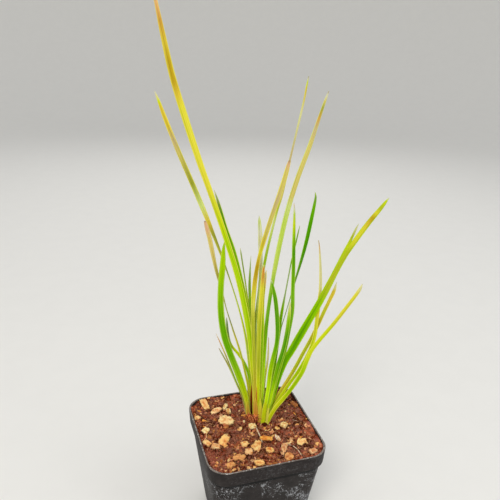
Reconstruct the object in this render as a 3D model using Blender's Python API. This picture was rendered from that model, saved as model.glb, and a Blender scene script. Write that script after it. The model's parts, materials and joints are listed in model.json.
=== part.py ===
"""Potted yellow-eyed grass: a square nursery pot, its soil with bark chips on top, the crown and the leaves.

Metres, +Z up. The origin is the middle of the pot's underside, and the pot's sides run along X and Y. The
leaves stand in three flat fans that face one way, FANS_FACE degrees round from the pot's front. A place in the
plant is given across the fans, to the right seen from the front, and in depth, away from the front, both from
the pot's middle.
"""
import math
import random
from collections import namedtuple

import bmesh
import bpy
from mathutils import Matrix, Vector, noise

MM = 0.001
SMOOTH_ANGLE = 40

# Pot, in millimetres
POT_HEIGHT = 65.0
RIM_SIDE = 70.0
RIM_CORNER = 11.0
RIM_ROUND = 0.4
WALL = 1.0
COLLAR_FOOT = POT_HEIGHT - 9.5
COLLAR_SIDE = RIM_SIDE - 1.0
BODY_SIDE = COLLAR_SIDE - 2.2
BODY_CORNER = RIM_CORNER - 1.0
BASE_SIDE = 52.0
BASE_CORNER = 9.0
BASE_CHAMFER = 0.6
FLOOR = 1.4
STEP_SLOPE = 0.8
DRAIN_RADIUS = 3.5
DRAIN_PLACE = 17.0
DRAIN_SIDES = 16
DRILL_DEPTH = 4 * FLOOR
CORNER_STEPS = 5
POT_BLACK = (0.012, 0.012, 0.013)
POT_ROUGHNESS = 0.45

# Soil and crown, in millimetres. CROWN_LEVELS gives how far below its top each level is, and the part of the
# outline that it has there.
GAP = 0.35
SOIL_LEVEL = 62.4
SOIL_RELIEF = 0.8
SOIL_LUMP = 12.0
SOIL_NOISE_SLICE = 3.0
SOIL_DIP = 0.5
SOIL_DIP_REACH = 18.0
SOIL_CLEARANCE = 2 * (WALL + GAP)
SOIL_TOP_SIDE = COLLAR_SIDE + 0.5 - SOIL_CLEARANCE
SOIL_RINGS = 9
SOIL_SIDE_STEPS = 5
PEAT_BROWN = (0.07, 0.028, 0.013)
PEAT_ROUGHNESS = 0.95
CROWN_TOP = 62.9
CROWN_MIDDLE = (2.2, 9.9)
CROWN_LEVELS = ((0.0, 0.88), (1.2, 1.0), (3.4, 0.96), (6.0, 0.8), (8.0, 0.45))
POCKET_GROWTH = 1.1
POCKET_MOUTH = 3.0
CROWN_OUTLINE = (
    (-7.4, 12.0), (-5.6, 9.0), (-1.5, 6.6), (2.0, 4.6), (5.2, 2.9), (9.0, 2.7), (11.0, 5.2), (10.6, 10.0),
    (8.4, 13.4), (4.0, 15.2), (0.0, 16.6), (-4.2, 16.0), (-7.0, 14.4),
)
CROWN_CURVE_STEPS = 2
SHEATH_BROWN = (0.3, 0.09, 0.02)
SHEATH_ROUGHNESS = 0.8

# Leaves, in millimetres
LEAF_FOOT = CROWN_TOP + GAP
LEAF_THICKNESS = 0.45
FULLY_THICK_WIDTH = 1.5
LEAF_RING_SPACING = 15.0
LEAF_ROUGHNESS = 0.5
LEAF_SECTION = ((-1.0, 0.0), (-0.5, 1.0), (0.5, 1.0), (1.0, 0.0), (0.5, -1.0), (-0.5, -1.0))

# How the leaves were seen: the eye's place in millimetres, its angles in degrees, and the photograph in pixels
FANS_FACE = 17.85
EYE = Vector((-88.2, -254.3, 278.0))
EYE_PITCH = 20.44
EYE_ROLL = 1.84
PHOTO_MIDDLE = 250.0
PHOTO_FOCAL = 540.0
FOOT_ROW = 418.0
LEAN_POWER = 1.3

# A leaf's root is its place across and in depth, foot its width there, and lean how far further back it would
# be at the photograph's top edge. twist is the turn of its blade at the tip in degrees. path holds its knots,
# tip first: the photograph's pixel that its middle line runs through, the blade's width there in millimetres,
# and where the blade is turned edge-on, its turn in degrees.
Leaf = namedtuple("Leaf", "name colour root foot lean twist path")
GREEN = (0.11, 0.36, 0.01)
LIME = (0.42, 0.62, 0.03)
YELLOW = (0.68, 0.62, 0.05)
OCHRE = (0.62, 0.32, 0.06)
TAN = (0.62, 0.38, 0.22)
STRAW = (0.55, 0.45, 0.26)

LEFT_FAN = (
    Leaf("leaf_left_1", GREEN, (-3.6, 11.0), 2.6, 0, 12,
         ((224.6, 241, 0.4), (223.6, 248.5, 1.8), (222.7, 264.5, 3.3), (220.8, 288, 3.5), (221, 312.5, 3.8),
          (224.4, 335.5, 4.1), (229.6, 352, 3.9), (237, 371, 4.1), (243.2, 388.5, 3.8), (247, 402, 3.2))),
    Leaf("leaf_left_2", STRAW, (-4.8, 11.8), 0.8, 6, -30,
         ((215.9, 333.5, 0.3), (219.7, 341.5, 0.9), (226, 356, 1), (230.5, 367, 0.9), (236, 381, 0.9),
          (242, 395, 0.8))),
    Leaf("leaf_left_3", STRAW, (-5.2, 12.6), 0.8, 10, 25,
         ((218.8, 348, 0.3), (221.3, 352.5, 0.8), (228.2, 365, 1), (236.2, 383, 0.9), (242.5, 398, 0.8))),
    Leaf("leaf_left_4", TAN, (-3.0, 12.6), 1.5, 8, 0,
         ((205, 221, 1.3), (206.6, 227, 2.3), (209.8, 239.5, 2.6), (213.9, 259.5, 2.4, 32), (217, 273, 2.2, 42),
          (222, 291, 1.9, 72), (226.6, 309.5, 1.8, 82), (232.9, 329.5, 1.8, 69), (239.6, 350, 1.8, 54),
          (244.6, 370, 1.8, 46), (248.3, 388, 1.7, 30))),
    Leaf("leaf_left_5", LIME, (-2.7, 13.5), 1.4, 16, 20,
         ((226.5, 317.5, 0.4), (227, 323, 1.1), (228, 333, 1.3), (229.5, 341, 1.4), (232.4, 347, 1.6),
          (238, 353.5, 1.8), (243.2, 361, 1.8), (247, 369, 1.8), (249.6, 380, 1.7), (250.6, 394, 1.5))),
)
MIDDLE_FAN = (
    Leaf("leaf_middle_1", LIME, (0.5, 9.2), 2.7, -12, -14,
         ((147.5, -40, 0.4), (151.6, -19, 1.2), (156.2, 3, 1.8), (163.7, 38.5, 2.7), (172.4, 76, 3.2),
          (185.3, 118.5, 3.5), (199.4, 161.5, 3.3), (213.4, 201, 3.0), (228.5, 246, 3.1), (238.3, 279, 3.2),
          (245.3, 310.5, 3.3), (248.9, 331, 3.4), (251.3, 351, 3.3), (253, 372, 3), (254.8, 394, 2.8))),
    Leaf("leaf_middle_2", YELLOW, (-0.8, 14.4), 1.6, 24, 0,
         ((154.5, 91, 0.3), (158.1, 99.5, 1.4), (164.4, 116.5, 2.3), (177.2, 148.5, 2.7), (191, 180.5, 2.9),
          (204.6, 212.5, 2.8, 22), (213.2, 234, 2.6, 48), (218.8, 248.5, 2.5, 62), (228.8, 276.5, 2.3, 82),
          (238.9, 308.5, 2.2, 75), (244.8, 333, 2.1, 60), (248.1, 355, 2, 45), (251.5, 388, 1.8, 28))),
    Leaf("leaf_middle_3", GREEN, (0.5, 10.0), 1.7, -6, 10,
         ((214.2, 190, 0.3), (217.1, 198.5, 1.1), (220, 208, 1.7), (225.9, 228.5, 2.1), (233, 248.5, 2.2),
          (238.6, 268.5, 2.2), (243.6, 290, 2.2), (248, 312, 2.2), (251.5, 345, 2.1), (253.5, 380, 1.9))),
    Leaf("leaf_middle_4", GREEN, (-0.8, 12.4), 0.7, 9, 35,
         ((240.2, 248, 0.3), (240.9, 252.5, 0.8), (243.2, 267.5, 0.8), (246.2, 288, 0.8), (249, 310, 0.9),
          (251.3, 345, 0.8), (252.6, 380, 0.8))),
    Leaf("leaf_middle_5", GREEN, (-0.1, 11.6), 1.1, 4, -25,
         ((251, 256, 0.3), (250.5, 263.5, 0.6), (249.9, 275, 1.2), (249.6, 286, 1.6), (250, 302, 1.6),
          (251.2, 328, 1.5), (252.5, 365, 1.4))),
    Leaf("leaf_middle_6", YELLOW, (1.7, 14.0), 1.1, 32, 30,
         ((308.8, 76, 0.3), (307.1, 84, 1), (304.2, 99.5, 1.2), (296.7, 131.5, 1.2), (289.1, 163.5, 1.2),
          (282, 195.5, 1.3), (277, 211.5, 1.3), (268.8, 243.5, 1.6), (265.3, 259.5, 1.7), (261.4, 282, 1.6),
          (258.5, 310, 1.5), (256.5, 360, 1.3))),
    Leaf("leaf_middle_7", OCHRE, (0.8, 8.4), 1.9, -14, -12,
         ((289.8, 160.5, 1.2), (288.2, 165.5, 1.9), (284.6, 178.5, 2.4), (278, 198.5, 2.4), (271.2, 218.5, 2.4),
          (264.7, 238.5, 2.4), (259.3, 258.5, 2.5), (255.5, 277.5, 2.7), (254, 291, 2.6), (253.1, 305, 2.4),
          (252.9, 322, 2.2), (253.9, 350, 2.1), (255, 385, 2))),
    Leaf("leaf_middle_8", STRAW, (1.1, 10.8), 1.2, -2, -20,
         ((259.4, 215.8, 0.3), (259.4, 220, 1.4), (260.2, 234.5, 2.3), (260.4, 249, 2.4), (260.7, 263, 2.1),
          (260.4, 276, 1.8), (259.3, 290, 1.8), (257.3, 304.5, 1.6), (255.6, 318, 1.4), (254.9, 333, 1.3),
          (255.4, 368, 1.3))),
    Leaf("leaf_middle_9", YELLOW, (2.1, 6.6), 2.1, -22, 8,
         ((264.2, 265, 0.3), (263.5, 272, 1.1), (262.4, 282, 1.7), (261.1, 298, 2.3), (259.2, 333, 2.6),
          (258.2, 375, 2.4))),
    Leaf("leaf_middle_10", OCHRE, (3.6, 7.4), 1.7, -18, -15,
         ((266.5, 270.5, 0.4), (265.5, 277.5, 0.8), (264.1, 287.5, 1.1), (262.8, 300, 1.5), (262.6, 330, 1.9),
          (260.8, 370, 2), (260, 395, 1.9))),
)
RIGHT_FAN = (
    Leaf("leaf_right_1", LIME, (3.9, 8.4), 1.9, -12, 16,
         ((328.9, 91, 0.3), (326.2, 98, 1.1), (320.4, 114.5, 1.6), (309.5, 146.5, 2.4), (297.5, 178.5, 2.6),
          (287.6, 210.5, 2.7), (280, 242.5, 2.7), (276, 262.5, 2.6), (273.1, 278.5, 2.3), (268.7, 306.5, 2.2),
          (266.4, 325.5, 2.3), (264.7, 346, 2.4), (262.8, 380, 2.2))),
    Leaf("leaf_right_2", STRAW, (4.9, 9.2), 0.7, -6, 30,
         ((268.5, 337.5, 0.3), (268.5, 343, 0.6), (268.1, 355, 1.1), (266.9, 365.5, 1.3), (265.3, 377, 1.1),
          (263.4, 400, 0.8))),
    Leaf("leaf_right_3", GREEN, (7.9, 6.8), 1.5, -30, 22,
         ((294, 203.5, 0.3), (294.4, 210, 0.9), (294.2, 224, 1.5), (293.8, 245, 1.9), (293.4, 270, 2.1),
          (292.8, 292, 2.2), (292.3, 311, 2.2), (288.7, 331.5, 2.2), (285, 350, 2.1), (281, 364, 2),
          (276.5, 380, 1.9))),
    Leaf("leaf_right_4", GREEN, (7.4, 10.8), 1, -6, 30,
         ((299.8, 225.8, 0.3), (298.2, 232.5, 0.8), (295.6, 244, 0.9), (291.7, 260, 0.8), (289.1, 273.5, 0.8),
          (285.3, 293.5, 0.9), (283.4, 303.5, 1.4), (281.6, 313.5, 1.8), (280, 325, 1.7), (278.3, 340, 1.5),
          (273, 378, 1.4))),
    Leaf("leaf_right_5", GREEN, (5.1, 5.2), 2.1, -40, -12,
         ((271.4, 280, 0.4), (273, 287, 1.5), (275.2, 298, 2.3), (276.5, 309, 2.4), (277.3, 320, 2.5),
          (277.5, 331, 2.4), (276.6, 344, 2.5), (273.2, 358, 2.7), (270.6, 370, 2.8), (268, 390, 2.6))),
    Leaf("leaf_right_6", GREEN, (6.8, 11.6), 1.5, 2, 0,
         ((315.3, 192.3, 0.3), (315.7, 197, 1.1), (314.4, 205, 1.6), (311, 221, 2.1), (306.4, 241.5, 2.2, 12),
          (301, 261.5, 2.2, 32), (296.3, 277, 2.1, 50), (291.6, 293, 2, 68), (287.3, 307, 1.9, 79),
          (284.6, 316, 1.9, 78), (281.3, 327, 1.9, 67), (278.8, 340, 1.9, 54), (276.5, 355, 1.8, 40),
          (271.5, 385, 1.6, 20))),
    Leaf("leaf_right_7", GREEN, (6.7, 6.0), 2.1, -34, -14,
         ((289.9, 301.5, 0.4), (289.9, 307, 1.4), (289.6, 312, 1.8), (288.6, 320, 2.1), (287, 332, 2.3),
          (285.1, 342, 2.4), (282.6, 352, 2.5), (278.6, 364, 2.6), (275, 378, 2.5), (270.4, 399, 2.3))),
    Leaf("leaf_right_8", GREEN, (5.8, 7.6), 2.2, -26, -18,
         ((389.2, 197.6, 0.3), (385.3, 202.5, 1.4), (381, 208, 2), (368.9, 222.5, 2.6), (356.9, 238.5, 2.7),
          (345.6, 254.5, 2.8), (336.4, 270.5, 3), (328, 286.5, 3.5), (319.5, 302.5, 3.7), (310.1, 318.5, 4.1),
          (300.7, 334.5, 4.5), (291.8, 350, 4.3), (284.8, 362, 3.8), (278.8, 377, 3.4), (274.8, 390, 3.1),
          (270.4, 404, 2.7))),
    Leaf("leaf_right_9", GREEN, (6.1, 10.0), 1.8, -12, 14,
         ((358.7, 223.8, 0.3), (356.2, 228.5, 1.1), (350.2, 241, 1.7), (344.6, 252, 2.2), (339.6, 262, 2.3),
          (328.8, 283, 2.4), (317.6, 303, 2.4), (299, 334, 2.4), (282.6, 364, 2.3), (271.5, 395, 2.1))),
    Leaf("leaf_right_10", TAN, (7.3, 8.4), 1.7, -24, 22,
         ((318.6, 240.3, 0.3), (319.4, 246.5, 0.7), (320.2, 260, 1.1), (320.6, 276, 1.5), (320.3, 289, 1.7),
          (319.2, 300, 2), (317.2, 317, 2.2), (314.2, 338, 2.3), (308.8, 352.5, 2.2), (299, 370, 2.2),
          (284.8, 390, 2.1), (275.5, 404, 1.9))),
    Leaf("leaf_right_11", OCHRE, (7.0, 9.2), 1.7, -20, -16,
         ((336.6, 282.5, 0.4), (335.2, 287.5, 1.4), (333.8, 291.5, 1.9), (329, 301.5, 2), (324.1, 311.5, 2.1),
          (318.6, 323.5, 2.1), (311.2, 338.5, 2.2), (304, 351.5, 2.2), (293, 371.5, 2.3), (281, 390.5, 2.2),
          (274, 402, 2))),
    Leaf("leaf_right_12", YELLOW, (8.8, 4.4), 2.4, -60, 20,
         ((362.4, 284, 0.4), (360.3, 288.5, 1.9), (357.4, 293, 2.2), (345.6, 308.5, 2.4), (333, 324.5, 2.5),
          (319.2, 340.5, 2.5), (311.2, 351, 2.6), (306.4, 361.5, 2.8), (302.4, 371.5, 2.8), (297, 380.5, 2.8),
          (289.8, 390.5, 2.7), (282, 400, 2.8), (274.2, 409.5, 2.7))),
)

# Bark chips, in millimetres and degrees: place along X and Y, length, width, and the length's turn from +X
Chip = namedtuple("Chip", "x y length width turn")
CHIP_THICKNESS = 1.8
CHIP_SIDES = 7
CHIP_TOP_SIZE = 0.78
CHIP_REACH = (0.92, 1.07)
CHIP_UNEVENNESS = 0.15
CHIP_CORNER_SHIFT = 0.3
CHIP_TILT = 10.0
CHIP_LIFT = 0.6
CHIP_PROBES = (0.3, 0.6, 1.0)
BARK_GOLD = (0.62, 0.34, 0.12)
BARK_ROUGHNESS = 0.9
CHIPS = (
    Chip(-24.2, 28.0, 8.6, 4.2, -79), Chip(-18.8, 20.6, 7.4, 3.6, 18), Chip(-15.3, 9.2, 8.6, 7.2, -24),
    Chip(-12.3, 22.5, 4.2, 2.4, 52), Chip(-11.4, 17.6, 4.2, 2.4, -85), Chip(-31.6, 16.6, 3.6, 3.2, 10),
    Chip(-29.1, 3.9, 4.4, 3.8, 40), Chip(-30.6, -6.3, 5.2, 3.2, -58), Chip(-26.4, -10.4, 5.0, 4.2, -20),
    Chip(-20.9, -8.1, 7.4, 4.6, 43), Chip(-0.9, 0.8, 4.6, 3.4, 0), Chip(3.9, -11.7, 7.0, 2.8, -18),
    Chip(10.3, -13.3, 4.6, 2.4, -75), Chip(-10.0, -13.4, 4.6, 2.8, 10), Chip(-9.8, -20.5, 4.4, 3.8, -18),
    Chip(-3.7, -17.2, 8.0, 4.0, 62), Chip(2.5, -21.4, 4.8, 3.4, -40), Chip(-16.2, -23.3, 7.4, 5.4, -10),
    Chip(-22.4, -28.0, 5.2, 4.6, 50), Chip(-6.6, -30.2, 5.6, 4.0, -18), Chip(11.1, -29.6, 5.4, 4.6, 30),
    Chip(11.0, -22.4, 6.4, 3.2, 58), Chip(23.1, -19.7, 7.4, 6.0, 30), Chip(26.0, -29.4, 4.8, 3.2, 20),
    Chip(18.2, -3.0, 4.4, 3.6, 40), Chip(31.4, 13.9, 5.8, 2.8, -74),
)

ACROSS = Vector((math.cos(math.radians(FANS_FACE)), -math.sin(math.radians(FANS_FACE)), 0))
AWAY = Vector((math.sin(math.radians(FANS_FACE)), math.cos(math.radians(FANS_FACE)), 0))


def clear_scene():
    """Remove whatever the open file holds."""
    for thing in list(bpy.data.objects):
        bpy.data.objects.remove(thing, do_unlink=True)


def finish(name, colour, roughness):
    """Make a Principled material with one colour and roughness."""
    material = bpy.data.materials.new(name)
    material.use_nodes = True
    shader = material.node_tree.nodes["Principled BSDF"]
    shader.inputs["Base Color"].default_value = (*colour, 1)
    shader.inputs["Roughness"].default_value = roughness
    shader.inputs["Metallic"].default_value = 0
    return material


def add_object(name, mesh, material, parent, smooth=False):
    """Link a mesh as an object with its material, shaded smooth up to SMOOTH_ANGLE if it is to be."""
    if smooth:
        mesh.shade_smooth()
        mesh.set_sharp_from_angle(angle=math.radians(SMOOTH_ANGLE))
    piece = bpy.data.objects.new(name, mesh)
    if material:
        mesh.materials.append(material)
    piece.parent = parent
    bpy.context.scene.collection.objects.link(piece)
    return piece


def lofted_mesh(name, rings):
    """Join rings with the same number of points by quads, and close the first and the last with a face."""
    shape = bmesh.new()
    loops = [[shape.verts.new(Vector(point) * MM) for point in ring] for ring in rings]
    count = len(loops[0])
    for lower, upper in zip(loops, loops[1:]):
        for i in range(count):
            j = (i + 1) % count
            shape.faces.new((lower[i], lower[j], upper[j], upper[i]))
    shape.faces.new(loops[0])
    shape.faces.new(loops[-1])
    bmesh.ops.recalc_face_normals(shape, faces=shape.faces)
    mesh = bpy.data.meshes.new(name)
    shape.to_mesh(mesh)
    shape.free()
    return mesh


def rounded_square(side, corner, height, side_steps=1):
    """The points of a square with round corners, anticlockwise from above, its sides cut in equal steps."""
    reach = side / 2 - corner
    points = []
    for quarter, (sx, sy) in enumerate(((1, 1), (-1, 1), (-1, -1), (1, -1))):
        middle = Vector((sx * reach, sy * reach, height))
        for step in range(CORNER_STEPS + 1):
            angle = math.radians(90 * (quarter + step / CORNER_STEPS))
            points.append(middle + Vector((math.cos(angle), math.sin(angle), 0)) * corner)
        side_angle = math.radians(90 * (quarter + 2))
        along = Vector((math.cos(side_angle), math.sin(side_angle), 0)) * 2 * reach
        for step in range(1, side_steps):
            points.append(points[-step] + along * step / side_steps)
    return points


def pot_rings():
    """The pot's section as rings: up the outside, over the rim and down the inside."""
    inner_rim = RIM_SIDE - 2 * WALL
    return [rounded_square(*ring) for ring in (
        (BASE_SIDE - 2 * BASE_CHAMFER, BASE_CORNER - BASE_CHAMFER, 0),
        (BASE_SIDE, BASE_CORNER, BASE_CHAMFER),
        (BODY_SIDE, BODY_CORNER, COLLAR_FOOT - RIM_ROUND),
        (COLLAR_SIDE - RIM_ROUND, RIM_CORNER - RIM_ROUND, COLLAR_FOOT),
        (COLLAR_SIDE, RIM_CORNER, COLLAR_FOOT + RIM_ROUND),
        (RIM_SIDE, RIM_CORNER, POT_HEIGHT - RIM_ROUND),
        (RIM_SIDE - RIM_ROUND, RIM_CORNER, POT_HEIGHT),
        (inner_rim + RIM_ROUND, RIM_CORNER - WALL, POT_HEIGHT),
        (inner_rim, RIM_CORNER - WALL, POT_HEIGHT - RIM_ROUND),
        (COLLAR_SIDE - 2 * WALL, RIM_CORNER - WALL, COLLAR_FOOT + STEP_SLOPE),
        (BODY_SIDE - 2 * WALL, BODY_CORNER - WALL, COLLAR_FOOT - STEP_SLOPE),
        (BASE_SIDE - 2 * WALL, BASE_CORNER - WALL, FLOOR),
    )]


def build_pot(parent):
    """The pot, with a drain hole near each corner of its floor."""
    mesh = lofted_mesh("pot", pot_rings())
    pot = add_object("pot", mesh, finish("black plastic", POT_BLACK, POT_ROUGHNESS), parent, True)
    for i, (sx, sy) in enumerate(((1, 1), (-1, 1), (-1, -1), (1, -1))):
        shape = bmesh.new()
        bmesh.ops.create_cone(shape, cap_ends=True, segments=DRAIN_SIDES, radius1=DRAIN_RADIUS * MM,
                              radius2=DRAIN_RADIUS * MM, depth=DRILL_DEPTH * MM)
        drill_mesh = bpy.data.meshes.new(f"drain_drill_{i}")
        shape.to_mesh(drill_mesh)
        shape.free()
        drill = add_object(f"drain_drill_{i}", drill_mesh, None, parent)
        drill.location = (sx * DRAIN_PLACE * MM, sy * DRAIN_PLACE * MM, FLOOR / 2 * MM)
        cut_away(pot, drill)


def cut_away(piece, cutter):
    """Cut one object out of another with a Boolean, and keep the cutter out of the model."""
    cutter.hide_render = True
    cutter.display_type = "WIRE"
    boolean = piece.modifiers.new(cutter.name, "BOOLEAN")
    boolean.operation = "DIFFERENCE"
    boolean.solver = "EXACT"
    boolean.object = cutter


def soil_height(x, y):
    """The height of the soil's top at a place, all in millimetres: low lumps, lower round the crown."""
    lumps = noise.noise(Vector((x, y, SOIL_NOISE_SLICE)) / SOIL_LUMP)
    from_crown = (Vector((x, y, 0)) - plant_place(*CROWN_MIDDLE, 0)).length
    return SOIL_LEVEL + SOIL_RELIEF * lumps - SOIL_DIP * max(0, 1 - from_crown / SOIL_DIP_REACH)


def soil_rings():
    """The soil as rings: up beside the pot's inner wall, then inwards over its uneven top."""
    rings = [rounded_square(*ring, SOIL_SIDE_STEPS) for ring in (
        (BASE_SIDE - SOIL_CLEARANCE, BASE_CORNER - WALL, FLOOR + GAP),
        (BODY_SIDE - SOIL_CLEARANCE - STEP_SLOPE, BODY_CORNER - WALL, COLLAR_FOOT - STEP_SLOPE),
        (COLLAR_SIDE - SOIL_CLEARANCE - STEP_SLOPE, RIM_CORNER - WALL, COLLAR_FOOT + 2 * STEP_SLOPE),
    )]
    for i in range(SOIL_RINGS):
        part = 1 - i / SOIL_RINGS
        ring = rounded_square(SOIL_TOP_SIDE * part, (RIM_CORNER - WALL) * part, 0, SOIL_SIDE_STEPS)
        rings.append([Vector((p.x, p.y, soil_height(p.x, p.y))) for p in ring])
    return rings


def plant_place(across, depth, height):
    """The point at a place in the plant, in millimetres."""
    return ACROSS * across + AWAY * depth + Vector((0, 0, height))


def closed_outline(corners, steps):
    """A smooth closed curve through the corners, as points."""
    count = len(corners)
    points = []
    for i in range(count):
        a, b, c, d = (Vector(corners[(i + k) % count]) for k in (-1, 0, 1, 2))
        points += [hermite(b, c, (c - a) / 2, (d - b) / 2, step / steps) for step in range(steps)]
    return points


def crown_rings(levels, growth):
    """The crown's lump as rings, grown by a factor from the middle of its top."""
    middle = Vector(CROWN_MIDDLE)
    outline = closed_outline(CROWN_OUTLINE, CROWN_CURVE_STEPS)
    rings = []
    for drop, part in levels:
        spots = [middle + (point - middle) * part * growth for point in outline]
        rings.append([plant_place(spot.x, spot.y, CROWN_TOP - drop * growth) for spot in spots])
    return rings


def build_soil_and_crown(parent):
    """The soil with a pocket for the crown, and the crown in it."""
    peat = finish("peat soil", PEAT_BROWN, PEAT_ROUGHNESS)
    soil = add_object("soil", lofted_mesh("soil", soil_rings()), peat, parent, True)
    pocket_levels = ((-POCKET_MOUTH, 1.0), *CROWN_LEVELS[1:])
    pocket_mesh = lofted_mesh("crown_pocket", crown_rings(pocket_levels, POCKET_GROWTH))
    cut_away(soil, add_object("crown_pocket", pocket_mesh, None, parent))
    sheaths = finish("leaf sheaths", SHEATH_BROWN, SHEATH_ROUGHNESS)
    add_object("crown", lofted_mesh("crown", crown_rings(CROWN_LEVELS, 1)), sheaths, parent, True)


def seen_at(x, y, depth):
    """The point at a depth in the plant that was seen at a pixel of the photograph."""
    turn = (Matrix.Rotation(math.radians(-FANS_FACE), 3, "Z")
            @ Matrix.Rotation(math.radians(90 - EYE_PITCH), 3, "X")
            @ Matrix.Rotation(math.radians(EYE_ROLL), 3, "Z"))
    ray = turn @ Vector((x - PHOTO_MIDDLE, PHOTO_MIDDLE - y, -PHOTO_FOCAL))
    return EYE + ray * (depth - EYE.dot(AWAY)) / ray.dot(AWAY)


def leaf_knots(leaf):
    """A leaf's knots from its root to its tip, each a point in millimetres, then its width and turn there."""
    count = len(leaf.path)
    turns = [leaf.twist * (k / count) ** 2 for k in range(count + 1)]
    knots = [Vector((*plant_place(*leaf.root, LEAF_FOOT), leaf.foot, turns[0]))]
    for (x, y, width, *own_turn), turn in zip(reversed(leaf.path), turns[1:]):
        rise = max(0, FOOT_ROW - y) / FOOT_ROW
        point = seen_at(x, y, leaf.root[1] + leaf.lean * rise ** LEAN_POWER)
        knots.append(Vector((*point, width, own_turn[0] if own_turn else turn)))
    return knots


def hermite(start, end, start_pull, end_pull, t):
    """A place on a cubic curve between two knots with a given pull at each."""
    return (start * (2 * t ** 3 - 3 * t * t + 1) + start_pull * (t ** 3 - 2 * t * t + t)
            + end * (3 * t * t - 2 * t ** 3) + end_pull * (t ** 3 - t * t))


def smooth_path(knots, spacing):
    """Stations at most about one spacing apart on a centripetal Catmull-Rom curve through the knots."""
    padded = [2 * knots[0] - knots[1], *knots, 2 * knots[-1] - knots[-2]]
    stations = []
    for a, b, c, d in zip(padded, padded[1:], padded[2:], padded[3:]):
        before, here, after = (math.sqrt((q - p).xyz.length) for p, q in ((a, b), (b, c), (c, d)))
        start_pull = (c - b) + here * ((b - a) / before - (c - a) / (before + here))
        end_pull = (c - b) + here * ((d - c) / after - (d - b) / (here + after))
        steps = math.ceil(here * here / spacing)
        stations += [hermite(b, c, start_pull, end_pull, step / steps) for step in range(steps)]
    return [*stations, knots[-1]]


def leaf_rings(leaf):
    """A leaf's sections, from its flat foot to its tip."""
    stations = smooth_path(leaf_knots(leaf), LEAF_RING_SPACING)
    last = len(stations) - 1
    rings = []
    for i, station in enumerate(stations):
        width, turn = station[3], station[4]
        along = (stations[min(i + 1, last)] - stations[max(i - 1, 0)]).xyz.normalized()
        across = Matrix.Rotation(math.radians(turn), 3, along) @ AWAY.cross(along).normalized()
        thickness = LEAF_THICKNESS * min(1, (1 + width / FULLY_THICK_WIDTH) / 2)
        face = along.cross(across) * thickness / 2
        across = across * width / 2
        ring = [station.xyz + across * x + face * y for x, y in LEAF_SECTION]
        if i == 0:
            ring = [Vector((p.x, p.y, LEAF_FOOT)) for p in ring]
        rings.append(ring)
    return rings


def build_leaves(parent):
    """Every leaf of the three fans, each a thin blade of lens-shaped section."""
    for fan in (LEFT_FAN, MIDDLE_FAN, RIGHT_FAN):
        for leaf in fan:
            blade = finish(f"blade of {leaf.name}", leaf.colour, LEAF_ROUGHNESS)
            add_object(leaf.name, lofted_mesh(leaf.name, leaf_rings(leaf)), blade, parent, True)


def chip_mesh(name, chip, seed):
    """An angular flat chip about its own middle: two rough polygons, the upper one smaller."""
    draw = random.Random(seed)
    shape = bmesh.new()
    for height, size in ((-0.5, 1.0), (0.5, CHIP_TOP_SIZE)):
        start = draw.uniform(0, math.tau)
        for side in range(CHIP_SIDES):
            shift = draw.uniform(-CHIP_CORNER_SHIFT, CHIP_CORNER_SHIFT)
            angle = start + math.tau * (side + shift) / CHIP_SIDES
            reach = size / 2 * draw.uniform(*CHIP_REACH)
            rise = CHIP_THICKNESS * (height + draw.uniform(-CHIP_UNEVENNESS, CHIP_UNEVENNESS))
            shape.verts.new((chip.length * reach * math.cos(angle), chip.width * reach * math.sin(angle), rise))
    bmesh.ops.convex_hull(shape, input=shape.verts)
    bmesh.ops.recalc_face_normals(shape, faces=shape.faces)
    tilt = (Matrix.Rotation(math.radians(chip.turn), 4, "Z")
            @ Matrix.Rotation(math.radians(draw.uniform(-CHIP_TILT, CHIP_TILT)), 4, "X")
            @ Matrix.Rotation(math.radians(draw.uniform(-CHIP_TILT, CHIP_TILT)), 4, "Y"))
    bmesh.ops.transform(shape, matrix=tilt, verts=shape.verts)
    bmesh.ops.scale(shape, vec=(MM, MM, MM), verts=shape.verts)
    mesh = bpy.data.meshes.new(name)
    shape.to_mesh(mesh)
    shape.free()
    return mesh


def build_chips(parent):
    """The larger bark chips, each resting just clear of the soil."""
    bark = finish("bark chip", BARK_GOLD, BARK_ROUGHNESS)
    for i, chip in enumerate(CHIPS, 1):
        name = f"bark_chip_{i:02d}"
        mesh = chip_mesh(name, chip, i)
        probes = [v.co.xy / MM * part for v in mesh.vertices for part in CHIP_PROBES]
        ground = max(soil_height(chip.x + probe.x, chip.y + probe.y) for probe in probes)
        piece = add_object(name, mesh, bark, parent)
        lowest = min(v.co.z for v in mesh.vertices)
        piece.location = (chip.x * MM, chip.y * MM, (ground + CHIP_LIFT) * MM - lowest)


def main():
    """Build the whole potted plant under one empty."""
    clear_scene()
    parent = bpy.data.objects.new("potted_plant", None)
    bpy.context.scene.collection.objects.link(parent)
    build_pot(parent)
    build_soil_and_crown(parent)
    build_leaves(parent)
    build_chips(parent)


if __name__ == "__main__":
    main()
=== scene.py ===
"""Potted yellow-eyed grass: the looks of its pot, soil, bark chips, crown and leaves, in its solids' frame.

Run it as a script. Each piece has an operator in the sidebar's Potted Grass panel, and the sizes and colours
that it uses are properties of the scene. Lengths in tables are in millimetres, angles in degrees.
"""
import json
import math
import random
from collections import namedtuple
from functools import cache

import bmesh
import bpy
from bpy.props import FloatProperty, FloatVectorProperty, IntProperty, PointerProperty
from mathutils import Matrix, Vector, noise


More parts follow.
